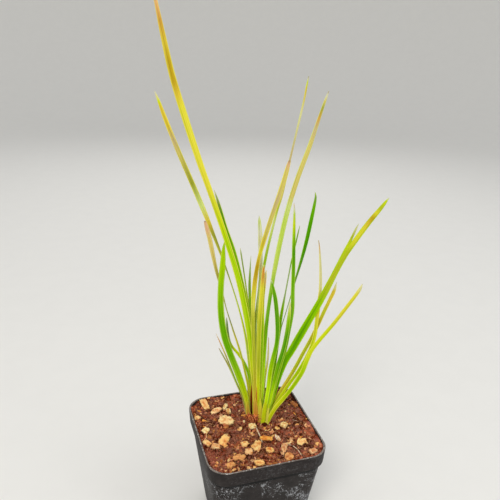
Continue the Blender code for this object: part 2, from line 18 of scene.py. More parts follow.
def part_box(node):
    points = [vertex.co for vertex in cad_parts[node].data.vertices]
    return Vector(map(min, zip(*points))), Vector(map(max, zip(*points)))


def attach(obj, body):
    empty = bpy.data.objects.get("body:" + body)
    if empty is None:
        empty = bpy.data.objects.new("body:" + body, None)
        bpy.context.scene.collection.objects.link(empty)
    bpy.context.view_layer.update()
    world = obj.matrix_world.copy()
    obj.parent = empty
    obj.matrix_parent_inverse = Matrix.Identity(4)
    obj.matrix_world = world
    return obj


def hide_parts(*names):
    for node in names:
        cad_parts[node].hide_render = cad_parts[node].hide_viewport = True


bl_info = {
    "name": "Potted Yellow-eyed Grass",
    "version": (1, 0, 0),
    "blender": (4, 5, 0),
    "location": "View3D > Sidebar > Potted Grass",
    "description": "Dresses the pot, soil, bark chips, crown and leaves of a young potted grass",
    "category": "Add Mesh",
}

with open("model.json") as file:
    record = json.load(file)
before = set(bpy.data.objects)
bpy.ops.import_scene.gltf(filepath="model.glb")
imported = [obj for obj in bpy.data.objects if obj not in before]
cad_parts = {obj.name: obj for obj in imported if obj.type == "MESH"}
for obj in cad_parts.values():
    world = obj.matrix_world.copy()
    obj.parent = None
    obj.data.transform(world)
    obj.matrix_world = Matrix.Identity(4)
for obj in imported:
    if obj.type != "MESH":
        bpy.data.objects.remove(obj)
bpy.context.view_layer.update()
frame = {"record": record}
MM = 0.001


def turning(degrees, axis):
    """A rotation about an axis."""
    return Matrix.Rotation(math.radians(degrees), 3, axis)


# How the plant was seen: the fans' heading, the eye's place and angles, and the photograph in pixels
FANS_FACE = 17.85
EYE = Vector((-88.2, -254.3, 278.0))
EYE_PITCH = 20.44
EYE_ROLL = 1.84
PHOTO_SIDE = 500.0
PHOTO_MIDDLE = PHOTO_SIDE / 2
PHOTO_FOCAL = 540.0
FOOT_ROW = 418.0
LEAN_POWER = 1.3
VIEW_TURN = turning(-FANS_FACE, "Z") @ turning(90 - EYE_PITCH, "X") @ turning(EYE_ROLL, "Z")
ACROSS = Vector((math.cos(math.radians(FANS_FACE)), -math.sin(math.radians(FANS_FACE)), 0))
AWAY = Vector((math.sin(math.radians(FANS_FACE)), math.cos(math.radians(FANS_FACE)), 0))

# The soil's top as its solid has it, and the crown
SOIL_LEVEL = 62.4
SOIL_RELIEF = 0.8
SOIL_LUMP = 12.0
SOIL_NOISE_SLICE = 3.0
SOIL_DIP = 0.5
SOIL_DIP_REACH = 18.0
SOIL_BANK = 1.7
SOIL_BANK_START = 27.0
SOIL_BANK_END = 33.5
CROWN_MIDDLE = (2.2, 9.9)
LEAF_FOOT = 63.25
BURIED_FOOT = 61.0

# A leaf's root is its place across and in depth, foot its width there, and lean how far further back it would
# be at the photograph's top edge. twist is the turn of its blade at the tip, fold how far its midrib stands
# proud, as a part of its half width. path holds its knots: the photograph's pixel that its middle line runs
# through, the blade's width there, and where the blade is turned edge-on, its turn. shades names the blade's
# colour at some of the photograph's rows, margin the colour of its thin edges. Both texts start at the tip.
Leaf = namedtuple("Leaf", "name margin root foot lean twist fold path shades")


def rows(text):
    """The rows of a table's text: commas part them, and blanks part their numbers and names."""
    return [[word if word[0].isalpha() else float(word) for word in row.split()] for row in text.split(",")]


def leaf(name, margin, root, foot, lean, twist, fold, path, shades):
    """A leaf, with its path and its shades turned to run from its foot to its tip."""
    tints = [(row, names[-1]) for names in rows(shades) for row in names[:-1]]
    return Leaf(name, margin, root, foot, lean, twist, fold, rows(path)[::-1], tints[::-1])


LEFT_FAN = (
    leaf("leaf_left_1", "pale_green", (-3.6, 11), 2.6, 0, 12, 0.15,
         """224.6 241 0.4, 223.6 248.5 1.8, 222.7 264.5 3.3, 220.8 288 3.5, 221 312.5 3.8, 224.4 335.5 4.1,
         229.6 352 3.9, 237 371 4.1, 243.2 388.5 3.8, 247 402 3.2""",
         """241 pale_green, 246 262 lime, 290 fresh_green, 325 355 leaf_green, 372 fresh_green, 385 lime,
         399 yellow_lime, 407 gold, 416 amber"""),
    leaf("leaf_left_2", "cream", (-4.8, 11.8), 0.8, 6, -30, 0,
         """215.9 333.5 0.3, 219.7 341.5 0.9, 226 356 1, 230.5 367 0.9, 236 381 0.9, 242 395 0.8""",
         """333 white_tip, 340 pink_tan, 350 straw, 358 olive, 366 dull_green, 378 leaf_green, 400 olive"""),
    leaf("leaf_left_3", "cream", (-5.2, 12.6), 0.6, 10, 25, 0,
         """218.8 348 0.3, 221.3 352.5 0.8, 228.2 365 1, 236.2 383 0.9, 242.5 398 0.8""",
         """348 brown_tip, 352 grey_green, 364 olive, 372 pale_green, 398 olive"""),
    leaf("leaf_left_4", "cream", (-3, 12.6), 1.5, 8, 0, -0.1,
         """205 221 1.3, 206.6 227 2.3, 209.8 239.5 2.6, 213.9 259.5 2.4 32, 217 273 2.2 42, 222 291 1.9 72,
         226.6 309.5 1.8 82, 232.9 329.5 1.8 69, 239.6 350 1.8 54, 244.6 370 1.8 46, 248.3 388 1.7 30""",
         """221 brown_tip, 223 229 pink_tan, 238 262 straw, 282 olive, 293 yellow, 304 pale_green,
         320 grey_green, 338 yellow, 360 380 yellow_lime, 400 yellow, 412 gold"""),
    leaf("leaf_left_5", "pale_green", (-2.7, 13.5), 1.4, 16, 20, 0.1,
         """226.5 317.5 0.4, 227 323 1.1, 228 333 1.3, 229.5 341 1.4, 232.4 347 1.6, 238 353.5 1.8,
         243.2 361 1.8, 247 369 1.8, 249.6 380 1.7, 250.6 394 1.5""",
         """317 white_tip, 322 333 grey_green, 342 pale_green, 348 356 yellow_lime, 364 375 fresh_green,
         385 yellow_lime, 405 ochre"""),
)
MIDDLE_FAN = (
    leaf("leaf_middle_1", "butter", (0.5, 9.2), 2.7, -12, -14, 0.15,
         """147.5 -40 0.4, 151.6 -19 1.2, 156.2 3 1.8, 163.7 38.5 2.7, 172.4 76 3.2, 185.3 118.5 3.5,
         199.4 161.5 3.3, 213.4 201 3, 228.5 246 3.1, 238.3 279 3.2, 245.3 310.5 3.3, 248.9 331 3.4,
         251.3 351 3.3, 253 372 3, 254.8 394 2.8""",
         """-40 brown_tip, -30 pink_tan, 0 peach, 20 amber, 42 gold, 62 82 ochre, 95 gold, 106 190 yellow,
         225 yellow_lime, 245 268 310 345 lime, 368 yellow_lime, 384 moss, 398 gold, 409 amber,
         418 orange"""),
    leaf("leaf_middle_2", "butter", (-0.8, 14.4), 1.6, 24, 0, 0.1,
         """154.5 91 0.3, 158.1 99.5 1.4, 164.4 116.5 2.3, 177.2 148.5 2.7, 191 180.5 2.9,
         204.6 212.5 2.8 22, 213.2 234 2.6 48, 218.8 248.5 2.5 62, 228.8 276.5 2.3 82,
         238.9 308.5 2.2 75, 244.8 333 2.1 60, 248.1 355 2 45, 251.5 388 1.8 28""",
         """91 white_tip, 96 cream, 101 yellow_lime, 107 118 126 gold, 140 tan, 153 straw, 183 olive,
         206 pale_lime, 222 gold, 235 262 olive, 272 dull_green, 300 pale_green, 325 yellow_lime,
         350 pale_green, 375 yellow_lime, 395 ochre, 410 orange"""),
    leaf("leaf_middle_3", "butter", (0.5, 10), 1.7, -6, 10, 0.15,
         """214.2 190 0.3, 217.1 198.5 1.1, 220 208 1.7, 225.9 228.5 2.1, 233 248.5 2.2, 238.6 268.5 2.2,
         243.6 290 2.2, 248 312 2.2, 251.5 345 2.1, 253.5 380 1.9""",
         """190 white_tip, 196 grey_green, 204 dull_green, 215 deep_green, 235 leaf_green, 270 fresh_green,
         340 lime, 380 yellow_lime, 410 amber"""),
    leaf("leaf_middle_4", "butter", (-0.8, 12.4), 0.7, 9, 35, 0,
         """240.2 248 0.3, 240.9 252.5 0.8, 243.2 267.5 0.8, 246.2 288 0.8, 249 310 0.9, 251.3 345 0.8,
         252.6 380 0.8""",
         """248 white_tip, 252 grey_green, 268 dull_green, 290 pale_green, 315 yellow_lime, 345 lime,
         400 yellow_lime"""),
    leaf("leaf_middle_5", "pale_green", (-0.1, 11.6), 1.1, 4, -25, 0.1,
         """251 256 0.3, 250.5 263.5 0.6, 249.9 275 1.2, 249.6 286 1.6, 250 302 1.6, 251.2 328 1.5,
         252.5 365 1.4""",
         """256 white_tip, 262 grey_green, 275 288 dull_green, 305 fresh_green, 340 lime, 400 yellow_lime"""),
    leaf("leaf_middle_6", "pale_lime", (1.7, 14), 1.1, 32, 30, 0.1,
         """308.8 76 0.3, 307.1 84 1, 304.2 99.5 1.2, 296.7 131.5 1.2, 289.1 163.5 1.2, 282 195.5 1.3,
         277 211.5 1.3, 268.8 243.5 1.6, 265.3 259.5 1.7, 261.4 282 1.6, 258.5 310 1.5, 256.5 360 1.3""",
         """76 brown_tip, 79 cream, 82 yellow_lime, 90 gold, 100 straw, 112 124 cream, 150 180 tan,
         198 straw, 208 moss, 225 pale_lime, 240 pale_green, 262 lime, 272 pale_green, 280 yellow,
         320 400 yellow_lime"""),
    leaf("leaf_middle_7", "butter", (0.8, 8.4), 1.9, -14, -12, 0.12,
         """289.8 160.5 1.2, 288.2 165.5 1.9, 284.6 178.5 2.4, 278 198.5 2.4, 271.2 218.5 2.4,
         264.6 238.5 2.4, 258.9 258.5 2, 255.5 277.5 2.5, 254 291 2.6, 253.1 305 2.4, 252.9 322 2.2,
         253.9 350 2.1, 255 385 2""",
         """160 brown_tip, 164 pink_tan, 172 186 straw, 200 tan, 218 230 straw, 243 gold, 252 yellow,
         258 gold, 266 274 ochre, 284 gold, 292 yellow, 304 butter, 320 335 365 moss, 395 gold, 410 amber"""),
    leaf("leaf_middle_8", "pale_lime", (1.1, 10.8), 1.2, -2, -20, 0.1,
         """259.4 215.8 0.3, 259.4 220 1.4, 260.2 234.5 2.3, 260.4 249 2.4, 260.7 263 2.1, 260.4 276 1.8,
         259.3 290 1.8, 257.3 304.5 1.6, 255.6 318 1.4, 254.9 333 1.3, 255.4 368 1.3""",
         """216 white_tip, 221 pale_lime, 232 white_tip, 240 cream, 250 white_tip, 266 cream,
         274 300 pale_lime, 316 345 moss, 400 ochre"""),
    leaf("leaf_middle_9", "butter", (2.1, 6.6), 2.1, -22, 8, 0.12,
         """263.9 265 0.4, 263.4 271 1.5, 262.6 281 2.1, 261.3 298 2.5, 259.2 333 2.6, 258.2 375 2.4""",
         """265 cream, 268 orange, 278 amber, 288 305 yellow, 322 345 365 moss, 385 415 yellow_lime"""),
    leaf("leaf_middle_10", "butter", (3.6, 7.4), 1.7, -18, -15, 0.12,
         """266.3 270.3 0.6, 265.6 275.5 1.3, 264.4 286 1.6, 262.9 300 1.8, 262.6 330 1.9, 260.8 370 2,
         260 395 1.9""",
         """270 white_tip, 276 cream, 282 peach, 288 300 yellow, 314 yellow_lime, 330 370 fresh_green,
         395 415 yellow_lime"""),
)
RIGHT_FAN = (
    leaf("leaf_right_1", "pale_lime", (3.9, 8.4), 1.9, -12, 16, 0.12,
         """328.9 91 0.3, 326.2 98 1.1, 320.4 114.5 1.6, 309.5 146.5 2.4, 297.5 178.5 2.6, 287.6 210.5 2.7,
         280 242.5 2.7, 276 262.5 2.6, 273.1 278.5 2.3, 268.7 306.5 2.2, 266.4 325.5 2.3, 264.7 346 2.4,
         262.8 380 2.2""",
         """91 brown_tip, 95 white_tip, 101 straw, 108 olive, 118 amber, 128 tan, 145 180 196 straw,
         206 pale_lime, 222 240 258 272 pale_green, 284 fresh_green, 300 325 leaf_green, 345 fresh_green,
         385 vivid_lime, 410 yellow_lime"""),
    leaf("leaf_right_2", "cream", (4.9, 9.2), 0.7, -6, 30, 0,
         """268.5 337.5 0.3, 268.5 343 0.6, 268.1 355 1.1, 266.9 365.5 1.3, 265.3 377 1.1, 263.4 400 0.8""",
         """337 brown_tip, 342 pink_tan, 350 362 cream, 368 yellow, 380 yellow_lime, 405 lime"""),
    leaf("leaf_right_3", "pale_green", (7.9, 6.8), 1.5, -30, 22, 0.12,
         """294 203.5 0.3, 294.4 210 0.9, 294.2 224 1.5, 293.8 245 1.9, 293.4 270 2.1, 292.8 292 2.2,
         292.3 311 2.2, 288.7 331.5 2.2, 285 350 2.1, 281 364 2, 276.5 380 1.9""",
         """203 pink_tan, 208 white_tip, 214 pale_green, 224 yellow_lime, 238 fresh_green, 252 deep_green,
         275 320 345 leaf_green, 365 fresh_green, 410 lime"""),
    leaf("leaf_right_4", "pale_green", (7.4, 10.8), 1, -6, 30, 0.1,
         """299.8 225.8 0.3, 298.2 232.5 0.8, 295.6 244 0.9, 291.7 260 0.8, 289.1 273.5 0.8,
         285.3 293.5 0.9, 283.4 303.5 1.4, 281.6 313.5 1.8, 280 325 1.7, 278.3 340 1.5, 273 378 1.4""",
         """225 grey_green, 232 dull_green, 246 leaf_green, 262 deep_green, 272 296 grey_green,
         306 fresh_green, 330 345 leaf_green, 385 lime"""),
    leaf("leaf_right_5", "pale_green", (5.1, 5.2), 2.1, -40, -12, 0.15,
         """271.4 280 0.4, 273 287 1.5, 275.2 298 2.3, 276.5 309 2.4, 277.3 320 2.5, 277.5 331 2.4,
         276.6 344 2.5, 273.2 358 2.7, 270.6 370 2.8, 268 390 2.6""",
         """280 white_tip, 284 leaf_green, 300 320 338 deep_green, 350 leaf_green, 375 lime, 393 vivid_lime,
         415 yellow_lime"""),
    leaf("leaf_right_6", "fresh_green", (6.8, 11.6), 1.5, 2, 0, 0.12,
         """315.3 192.3 0.3, 315.7 197 1.1, 314.4 205 1.6, 311 221 2.1, 306.4 241.5 2.2 12,
         301 261.5 2.2 32, 296.3 277 2.1 50, 291.6 293 2 68, 287.3 307 1.9 79, 284.6 316 1.9 78,
         281.3 327 1.9 67, 278.8 340 1.9 54, 276.5 355 1.8 40, 271.5 385 1.6 20""",
         """192 pale_green, 197 dull_green, 206 leaf_green, 222 255 deep_green, 290 dull_green,
         305 grey_green, 316 dull_green, 340 leaf_green, 385 lime"""),
    leaf("leaf_right_7", "pale_green", (6.7, 6), 2.1, -34, -14, 0.15,
         """289.9 301.5 0.4, 289.9 307 1.4, 289.6 312 1.8, 288.6 320 2.1, 287 332 2.3, 285.1 342 2.4,
         282.6 352 2.5, 278.6 364 2.6, 275 378 2.5, 270.4 399 2.3""",
         """301 white_tip, 306 cream, 312 pale_green, 320 fresh_green, 335 360 deep_green, 380 fresh_green,
         396 vivid_lime, 412 yellow_lime"""),
    leaf("leaf_right_8", "lime", (5.8, 7.6), 2.2, -26, -18, -0.15,
         """389.2 197.6 0.3, 385.3 202.5 1.4, 381 208 2, 368.9 222.5 2.6, 356.9 238.5 2.7, 345.6 254.5 2.8,
         336.4 270.5 3, 328 286.5 3.5, 319.5 302.5 3.7, 310.1 318.5 4.1, 300.7 334.5 4.5, 291.8 350 4.3,
         284.8 362 3.8, 278.8 377 3.4, 274.8 390 3.1, 270.4 404 2.7""",
         """197 white_tip, 201 yellow_lime, 208 moss, 213 yellow, 218 ochre, 224 gold, 230 241 yellow,
         252 268 285 moss, 305 fresh_green, 335 365 385 leaf_green, 400 fresh_green, 412 yellow_lime"""),
    leaf("leaf_right_9", "pale_green", (6.1, 10), 1.8, -12, 14, 0.1,
         """358.7 223.8 0.3, 356.2 228.5 1.1, 350.2 241 1.7, 344.6 252 2.2, 339.6 262 2.3, 328.8 283 2.4,
         317.6 303 2.4, 299 334 2.4, 282.6 364 2.3, 271.5 395 2.1""",
         """223 white_tip, 228 cream, 236 moss, 246 yellow_lime, 262 moss, 300 350 leaf_green, 400 lime"""),
    leaf("leaf_right_10", "butter", (7.3, 8.4), 1.7, -24, 22, 0.1,
         """318.6 240.3 0.3, 319.4 246.5 0.7, 320.2 260 1.1, 320.6 276 1.5, 320.3 289 1.7, 319.2 300 2,
         317.2 317 2.2, 314.2 338 2.3, 308.8 352.5 2.2, 299 370 2.2, 284.8 390 2.1, 275.5 404 1.9""",
         """240 brown_tip, 247 pink_tan, 256 285 cream, 300 318 yellow, 345 yellow_lime, 365 lime,
         390 405 yellow_lime"""),
    leaf("leaf_right_11", "butter", (7, 9.2), 1.7, -20, -16, 0.1,
         """336.6 282.5 0.4, 335.2 287.5 1.4, 333.8 291.5 1.9, 329 301.5 2, 324.1 311.5 2.1,
         318.6 323.5 2.1, 311.2 338.5 2.2, 304 351.5 2.2, 293 371.5 2.3, 281 390.5 2.2, 274 402 2""",
         """282 white_tip, 287 cream, 291 300 gold, 312 moss, 325 ochre, 345 365 moss, 385 gold, 402 moss"""),
    leaf("leaf_right_12", "butter", (7.7, 4.4), 2.4, -60, 20, 0.12,
         """362.4 284 0.4, 360.3 288.5 1.9, 357.4 293 2.2, 345.6 308.5 2.4, 333 324.5 2.5, 319.2 340.5 2.5,
         311.2 351 2.6, 306.4 361.5 2.8, 302.4 371.5 2.8, 297 380.5 2.8, 289.8 390.5 2.7, 282 400 2.8,
         274.2 409.5 2.7""",
         """284 white_tip, 289 cream, 294 315 yellow, 330 355 yellow_lime, 368 390 lime,
         402 412 yellow_lime"""),
)

# Dry sheaths round the fans' feet, drawn like leaves
SHEATHS = (
    leaf("sheath_middle_front", "gold", (1.3, 6), 3.2, -10, 0, 0.25,
         """255.6 398 0.3, 255.5 402 1.9, 255.6 409 3""",
         """398 gold, 406 amber, 416 orange"""),
    leaf("sheath_middle_seam", "orange", (1.8, 6.2), 1, -12, 0, 0.2,
         """257 372 0.2, 257 380 0.6, 256.9 396 0.9""",
         """372 ochre, 384 orange, 410 rust"""),
    leaf("sheath_left_front", "butter", (-3.2, 10.3), 3, -4, 0, 0.25,
         """247.6 399 0.3, 247.6 404 1.6, 247.8 410 2.6""",
         """399 yellow_lime, 406 gold, 415 amber"""),
    leaf("sheath_right_inner", "butter", (3.7, 5.7), 3, -12, 0, 0.25,
         """260.4 398 0.3, 260.3 404 1.8, 260.3 412 2.7""",
         """398 yellow_lime, 406 yellow, 418 gold"""),
    leaf("sheath_right_front", "butter", (5.4, 4.8), 3, -14, 0, 0.3,
         """266.8 394 0.3, 266 401 2, 264.4 411 3""",
         """394 411 vivid_lime, 420 yellow_lime"""),
    leaf("sheath_right_edge", "butter", (7.9, 4.2), 1.6, -14, 0, 0.2,
         """269 404 0.3, 268.6 408 1, 267.6 415 1.5""",
         """404 yellow_lime, 411 vivid_lime, 420 butter"""),
    # Old sheath bases behind the fans, ending in dark brown near the soil: partly their own brown, partly
    # painted shade of the gap between the fans.
    leaf("sheath_dark_back", "rust", (-0.9, 12.9), 2.8, 4, 0, 0.1,
         """252.3 380 0.4, 252.2 392 1.8, 252 404 2.4""",
         """380 olive, 392 rust, 412 bark_dark"""),
)

# Bark chips: place along X and Y, length, width and the turn of the length from +X, as their solids have
# them, then the outline's kind, the colour and how far the chip's far side is raised
Chip = namedtuple("Chip", "x y length width turn outline shade tilt", defaults=(0,))
CHIPS = [Chip(*row) for row in rows("""
    -24.2 28 8.6 4.2 -79 slab honey 15, -18.8 20.6 7.4 3.6 18 half_moon peachy 8,
    -15.3 9.2 8.6 7.2 -24 half_round cream 9, -12.3 22.5 4.2 2.4 52 bar pale 12,
    -11.4 17.6 4.2 2.4 -85 slab pale 10, -31.6 16.6 3.6 3.2 10 oval honey, -29.1 3.9 4.4 3.8 40 slab pale,
    -30.6 -6.3 5.2 3.2 -58 slab honey, -26.4 -10.4 5 4.2 -20 slab peachy,
    -20.9 -8.1 7.4 4.6 43 slab golden 12, -0.9 0.8 4.6 3.4 0 slab pale, 3.9 -11.7 7 2.8 -18 bar orange,
    10.3 -13.3 4.6 2.4 -75 oval white, -10 -13.4 4.6 2.8 10 slab honey, -9.8 -20.5 4.4 3.8 -18 slab peachy,
    -3.7 -17.2 8 4 62 slab honey 8, 2.5 -21.4 4.8 3.4 -40 oval golden, -16.2 -23.3 7.4 5.4 -10 shard rusty,
    -22.4 -28 5.2 4.6 50 shard rusty, -6.6 -30.2 5.6 4 -18 oval golden, 11.1 -29.6 5.4 4.6 30 oval rusty,
    11 -22.4 6.4 3.2 58 bar pinkish, 23.1 -19.7 7.4 6 30 shard honey, 26 -29.4 4.8 3.2 20 slab pinkish,
    18.2 -3 4.4 3.6 40 slab pale, 31.4 13.9 5.8 2.8 -74 bar russet
""")]

# Lighter and darker places of the peat: place along X and Y, reach and change of tone
PATCHES = rows("""-18 1.2 6 -0.12, 25.7 1.1 8 -0.16, 17.2 -15.6 6 -0.1, 2.5 -25.4 6 0.1, -22.6 -27.4 7 0.1,
               27.3 19.5 8 -0.12, 31 -24 6 0.1""")

# Small flakes that the photograph shows: the pixel, then the length, width, turn and colour
FLAKES = rows("""
    222.5 398 2.6 1.8 20 golden, 208.5 398.3 2.6 1.8 -50 honey, 251 434.5 3.2 2.4 40 honey,
    271.5 433 4.8 2.8 66 pinkish, 277.2 428.6 3.6 2.8 20 golden, 249 468.5 3 1.8 -15 cream,
    305.5 425 2.4 1.4 45 peachy, 240 411.5 2.8 1.6 20 peachy, 246 412 2 1.2 -30 golden,
    244 422 1.8 1.2 80 pale, 234.5 405.3 2.2 1.6 30 pinkish, 217.6 417.3 1.4 1 0 peachy,
    253.5 446.5 3.4 2.6 30 golden, 265 431 2.4 1.6 -20 pale, 287 429 2.4 1.6 35 honey,
    296 437 2.2 1 10 golden, 306.5 427 2.6 1.4 -55 peachy, 307 419 1.8 1.2 0 orange,
    245 446 3.2 1.8 20 golden, 234 470 2.8 1.4 25 honey, 238 469 2 1.4 -60 golden,
    242.5 457.5 3 2 50 golden, 213 442 1.6 1.2 40 golden, 204 427 1.4 1 0 orange, 262 462 1.6 1 -30 orange,
    282.5 453.5 3.4 2.4 70 pinkish, 298 456 1.8 1.2 50 golden, 225.5 446.5 3.4 2.4 60 golden,
    221 440.5 2.8 2 10 honey, 268.5 430.5 1.8 1.4 0 golden, 301 437.5 3 2 60 orange,
    227.5 403.5 2.4 1 70 pale, 260.8 425.2 1.7 1.1 70 pale, 268.6 424.8 1.8 1.1 -60 pale,
    265.2 429.6 2.2 1.5 10 honey, 289.5 423.5 1.6 1.1 30 pale
""")

# Pale straws on the soil, each its radius and the pixels of the photograph that it runs through
STRAWS = ((0.34, "256 427, 258.2 432, 260.4 437, 262.3 442.5"),
          (0.22, "288 444.8, 291.5 445.2, 297 449, 302 456"))

# The middle of the place near the front left corner where many fibres are reddish
RED_CORNER = (-29.5, -18.0)

# The reddish sheath fibres before the fans' feet: pixel columns, pixel rows and depth of each tuft, and the
# dark lump before the right fan with its depth
TUFTS = (((246.5, 251), (415, 419), 9.6), ((250.5, 257.5), (415.5, 420.5), 5.3))
DARK_LUMP = (264.6, 424.0, 3.4)

# Outlines of chips, as corners in a box from -1 to 1, the length first
OUTLINES = {
    "slab": "-1 -0.7, -0.55 -1, 0.6 -0.9, 1 -0.55, 0.85 0.5, 0.9 0.8, 0.1 1, -0.8 0.9",
    "half_round": "-1 -0.45, -0.75 -0.95, 0.5 -1, 1 -0.55, 0.95 0.35, 0.5 0.95, -0.35 1, -0.9 0.5",
    "half_moon": "-1 -0.5, -0.4 -0.85, 0.35 -0.9, 1 -0.5, 0.85 0.3, 0.3 0.9, -0.3 1, -0.85 0.45",
    "bar": "-1 -0.6, -0.5 -0.9, 0.4 -0.8, 1 -0.9, 0.95 0.7, 0.3 1, -0.6 0.8, -0.95 0.6",
    "oval": "-1 -0.1, -0.6 -0.8, 0.2 -1, 0.85 -0.6, 1 0.15, 0.6 0.85, -0.1 1, -0.8 0.6",
    "shard": "-1 0.1, -0.6 -0.55, -0.1 -0.5, 0.45 -1, 0.75 -0.3, 1 0.1, 0.35 0.45, 0.1 1, -0.6 0.65",
}


def linear(code):
    """Turn a six-digit sRGB code into linear red, green and blue."""
    parts = (int(code[i:i + 2], 16) / 255 for i in (0, 2, 4))
    return tuple(p / 12.92 if p <= 0.04045 else ((p + 0.055) / 1.055) ** 2.4 for p in parts)


def colour(name, description, code):
    """A colour property."""
    return FloatVectorProperty(name=name, description=description, subtype="COLOR", min=0, max=1,
                               default=linear(code))


def length(name, description, millimetres):
    """A length property with its default in millimetres."""
    return FloatProperty(name=name, description=description, unit="LENGTH", subtype="DISTANCE", min=0,
                         precision=5, default=millimetres * MM)


def share(name, description, default, highest=1.0):
    """A property that is a part of something."""
    return FloatProperty(name=name, description=description, subtype="FACTOR", min=0, max=highest,
                         default=default)


def count(name, description, default):
    """A property that counts pieces."""
    return IntProperty(name=name, description=description, min=0, default=default)


class PottedGrassBladeTints(bpy.types.PropertyGroup):
    """The colours that the blades run through."""
    deep_green: colour("Deep green", "Green of a broad blade in its middle", "549E00")
    leaf_green: colour("Leaf green", "Green of most blades", "6BAE00")
    fresh_green: colour("Fresh green", "Green of a young blade", "8EC400")
    lime: colour("Lime", "Yellowish green low on a blade", "AED400")
    yellow_lime: colour("Yellow lime", "Greenish yellow", "D0DE14")
    vivid_lime: colour("Vivid lime", "Bright green at the right fan's foot", "D4FF18")
    yellow: colour("Yellow", "Yellow of an ageing blade", "E0D638")
    gold: colour("Gold", "Dull yellow before a blade browns", "DABD38")
    ochre: colour("Ochre", "Brownish yellow high on a blade", "C09F1E")
    amber: colour("Amber", "Orange yellow", "D69E42")
    orange: colour("Orange", "Orange of a dying tip or a sheath", "DE8636")
    peach: colour("Peach", "Pale orange of a drying blade", "EBB27A")
    pink_tan: colour("Pink tan", "Pinkish tan of a dry blade", "DDAC88")
    tan: colour("Tan", "Greyish tan of a dry blade", "CBB280")
    cream: colour("Cream", "Pale yellow margin", "DED59A")
    pale_green: colour("Pale green", "Pale green margin", "C0D654")
    olive: colour("Olive", "Greyish yellow-green", "A4A438")
    dull_green: colour("Dull green", "Greyish green", "80A044")
    grey_green: colour("Grey green", "Pale green of a blade seen on its edge", "9EB27C")
    white_tip: colour("White tip", "Dead white tip", "E2DCC6")
    brown_tip: colour("Brown tip", "Dead brown tip", "9E7460")
    butter: colour("Butter", "Yellow margin of a green or yellow blade", "E9E25C")
    pale_lime: colour("Pale lime", "Pale margin of a yellow-green blade", "D0DC80")
    straw: colour("Straw", "Yellowish tan of a dry blade", "D8C468")
    moss: colour("Moss", "Yellowish olive green low on a blade", "B6BE26")
    rust: colour("Rust", "Reddish brown of an old sheath", "8E3208")
    copper: colour("Copper", "Bright reddish fibres at the foot", "FFA05C")
    # Partly painted shade: the darkest brown of the gap between the fans' feet.
    bark_dark: colour("Dark foot", "Dark brown between the fans", "4A2614")


class PottedGrassBlades(bpy.types.PropertyGroup):
    """Sizes of the blades and of what is drawn on them."""
    thickness: length("Thickness", "Greatest thickness of a blade", 0.45)
    full_width: length("Full width", "Width from which a blade has its full thickness", 1.5)
    ring_spacing: length("Ring spacing", "Length of a blade between two of its sections", 1.8)
    vein_spacing: length("Vein spacing", "Distance between two veins across a blade", 0.42)
    margin: share("Margin", "Pale margin as a part of the half width", 0.24)
    streaks: share("Streaks", "Strength of the pale and dark streaks along a blade", 0.75)
    green_streak: colour("Green streak", "What a green blade's darker streaks are multiplied by", "C2D0AC")
    dry_streak: colour("Dry streak", "What a dry blade's darker streaks are multiplied by", "D8C29C")
    relief: length("Relief", "Height of the veins", 0.05)
    half_steps: count("Steps", "Strips across each face of a blade", 8)


class PottedGrassPot(bpy.types.PropertyGroup):
    """Sizes and colours of the pot."""
    height: length("Height", "Height of the pot", 65.0)
    rim_side: length("Rim", "Width of the pot across its rim", 70.0)
    rim_corner: length("Rim corner", "Radius of the rim's corners", 11.0)
    collar_side: length("Collar", "Width across the collar's lower edge", 69.0)
    collar_height: length("Collar height", "Height of the collar", 9.5)
    body_side: length("Body", "Width just under the collar", 66.8)
    base_side: length("Base", "Width of the underside", 52.0)
    base_corner: length("Base corner", "Radius of the base's corners", 9.0)
    wall: length("Wall", "Thickness of the wall", 1.0)
    floor: length("Floor", "Thickness of the floor", 1.4)
    rounding: length("Rounding", "Radius of the rim's and collar's edges", 0.4)
    drain_radius: length("Drain radius", "Radius of a drain hole", 3.5)
    drain_place: length("Drain place", "Distance of a drain hole from the pot's middle planes", 17.0)
    plastic: colour("Plastic", "Colour of the plastic", "252120")
    worn: colour("Worn rim", "Colour of the worn, dusty rim", "8E8178")
    dust: colour("Dust", "Colour of the dust and lime on the walls", "B6B8BC")


class PottedGrassSoil(bpy.types.PropertyGroup):
    """Sizes, numbers and colours of the soil and of what lies on it."""
    cells: count("Cells", "Cells along each side of the soil's surface", 200)
    crumbs: count("Crumbs", "Number of loose crumbs", 3600)
    flakes: count("Flakes", "Number of small flakes beside those that have a place of their own", 760)
    fibres: count("Fibres", "Number of fibres", 2600)
    black: colour("Black", "Darkest peat", "481A06")
    brown: colour("Brown", "Peat in shade", "863C1E")
    purple: colour("Purple brown", "Purplish brown peat", "A26054")
    red: colour("Red brown", "Reddish brown peat", "C26E4E")
    light: colour("Light brown", "Dry crumbs", "F2A676")
    fibre: colour("Fibre", "Dark coconut fibre", "5C2E20")
    red_fibre: colour("Red fibre", "Dark reddish fibre in the front left corner", "8A3418")
    dry_fibre: colour("Dry fibre", "Pale coconut fibre", "D49460")
    straw: colour("Straw", "Dead straw", "F2DDBE")


class PottedGrassBark(bpy.types.PropertyGroup):
    """Sizes and colours of the bark chips."""
    thickness: length("Thickness", "Thickness of a chip", 1.8)
    sink: length("Sink", "How deep a chip is bedded", 0.35)
    cream: colour("Cream", "Cream chip", "FFD090")
    pale: colour("Pale", "Pale yellow chip", "FFE29E")
    white: colour("White", "White chip", "FFF0D6")
    golden: colour("Golden", "Golden chip", "FABA70")
    orange: colour("Orange", "Orange chip", "FFB050")
    russet: colour("Russet", "Orange-brown chip", "B4723C")
    honey: colour("Honey", "Bright golden chip", "FFC680")
    peachy: colour("Peachy", "Pale orange chip", "FFCA8E")
    rusty: colour("Rusty", "Golden chip stained brown", "DE965A")
    pinkish: colour("Pinkish", "Pinkish chip", "E8AC7C")
    umber: colour("Umber", "Purplish brown flake", "84503E")


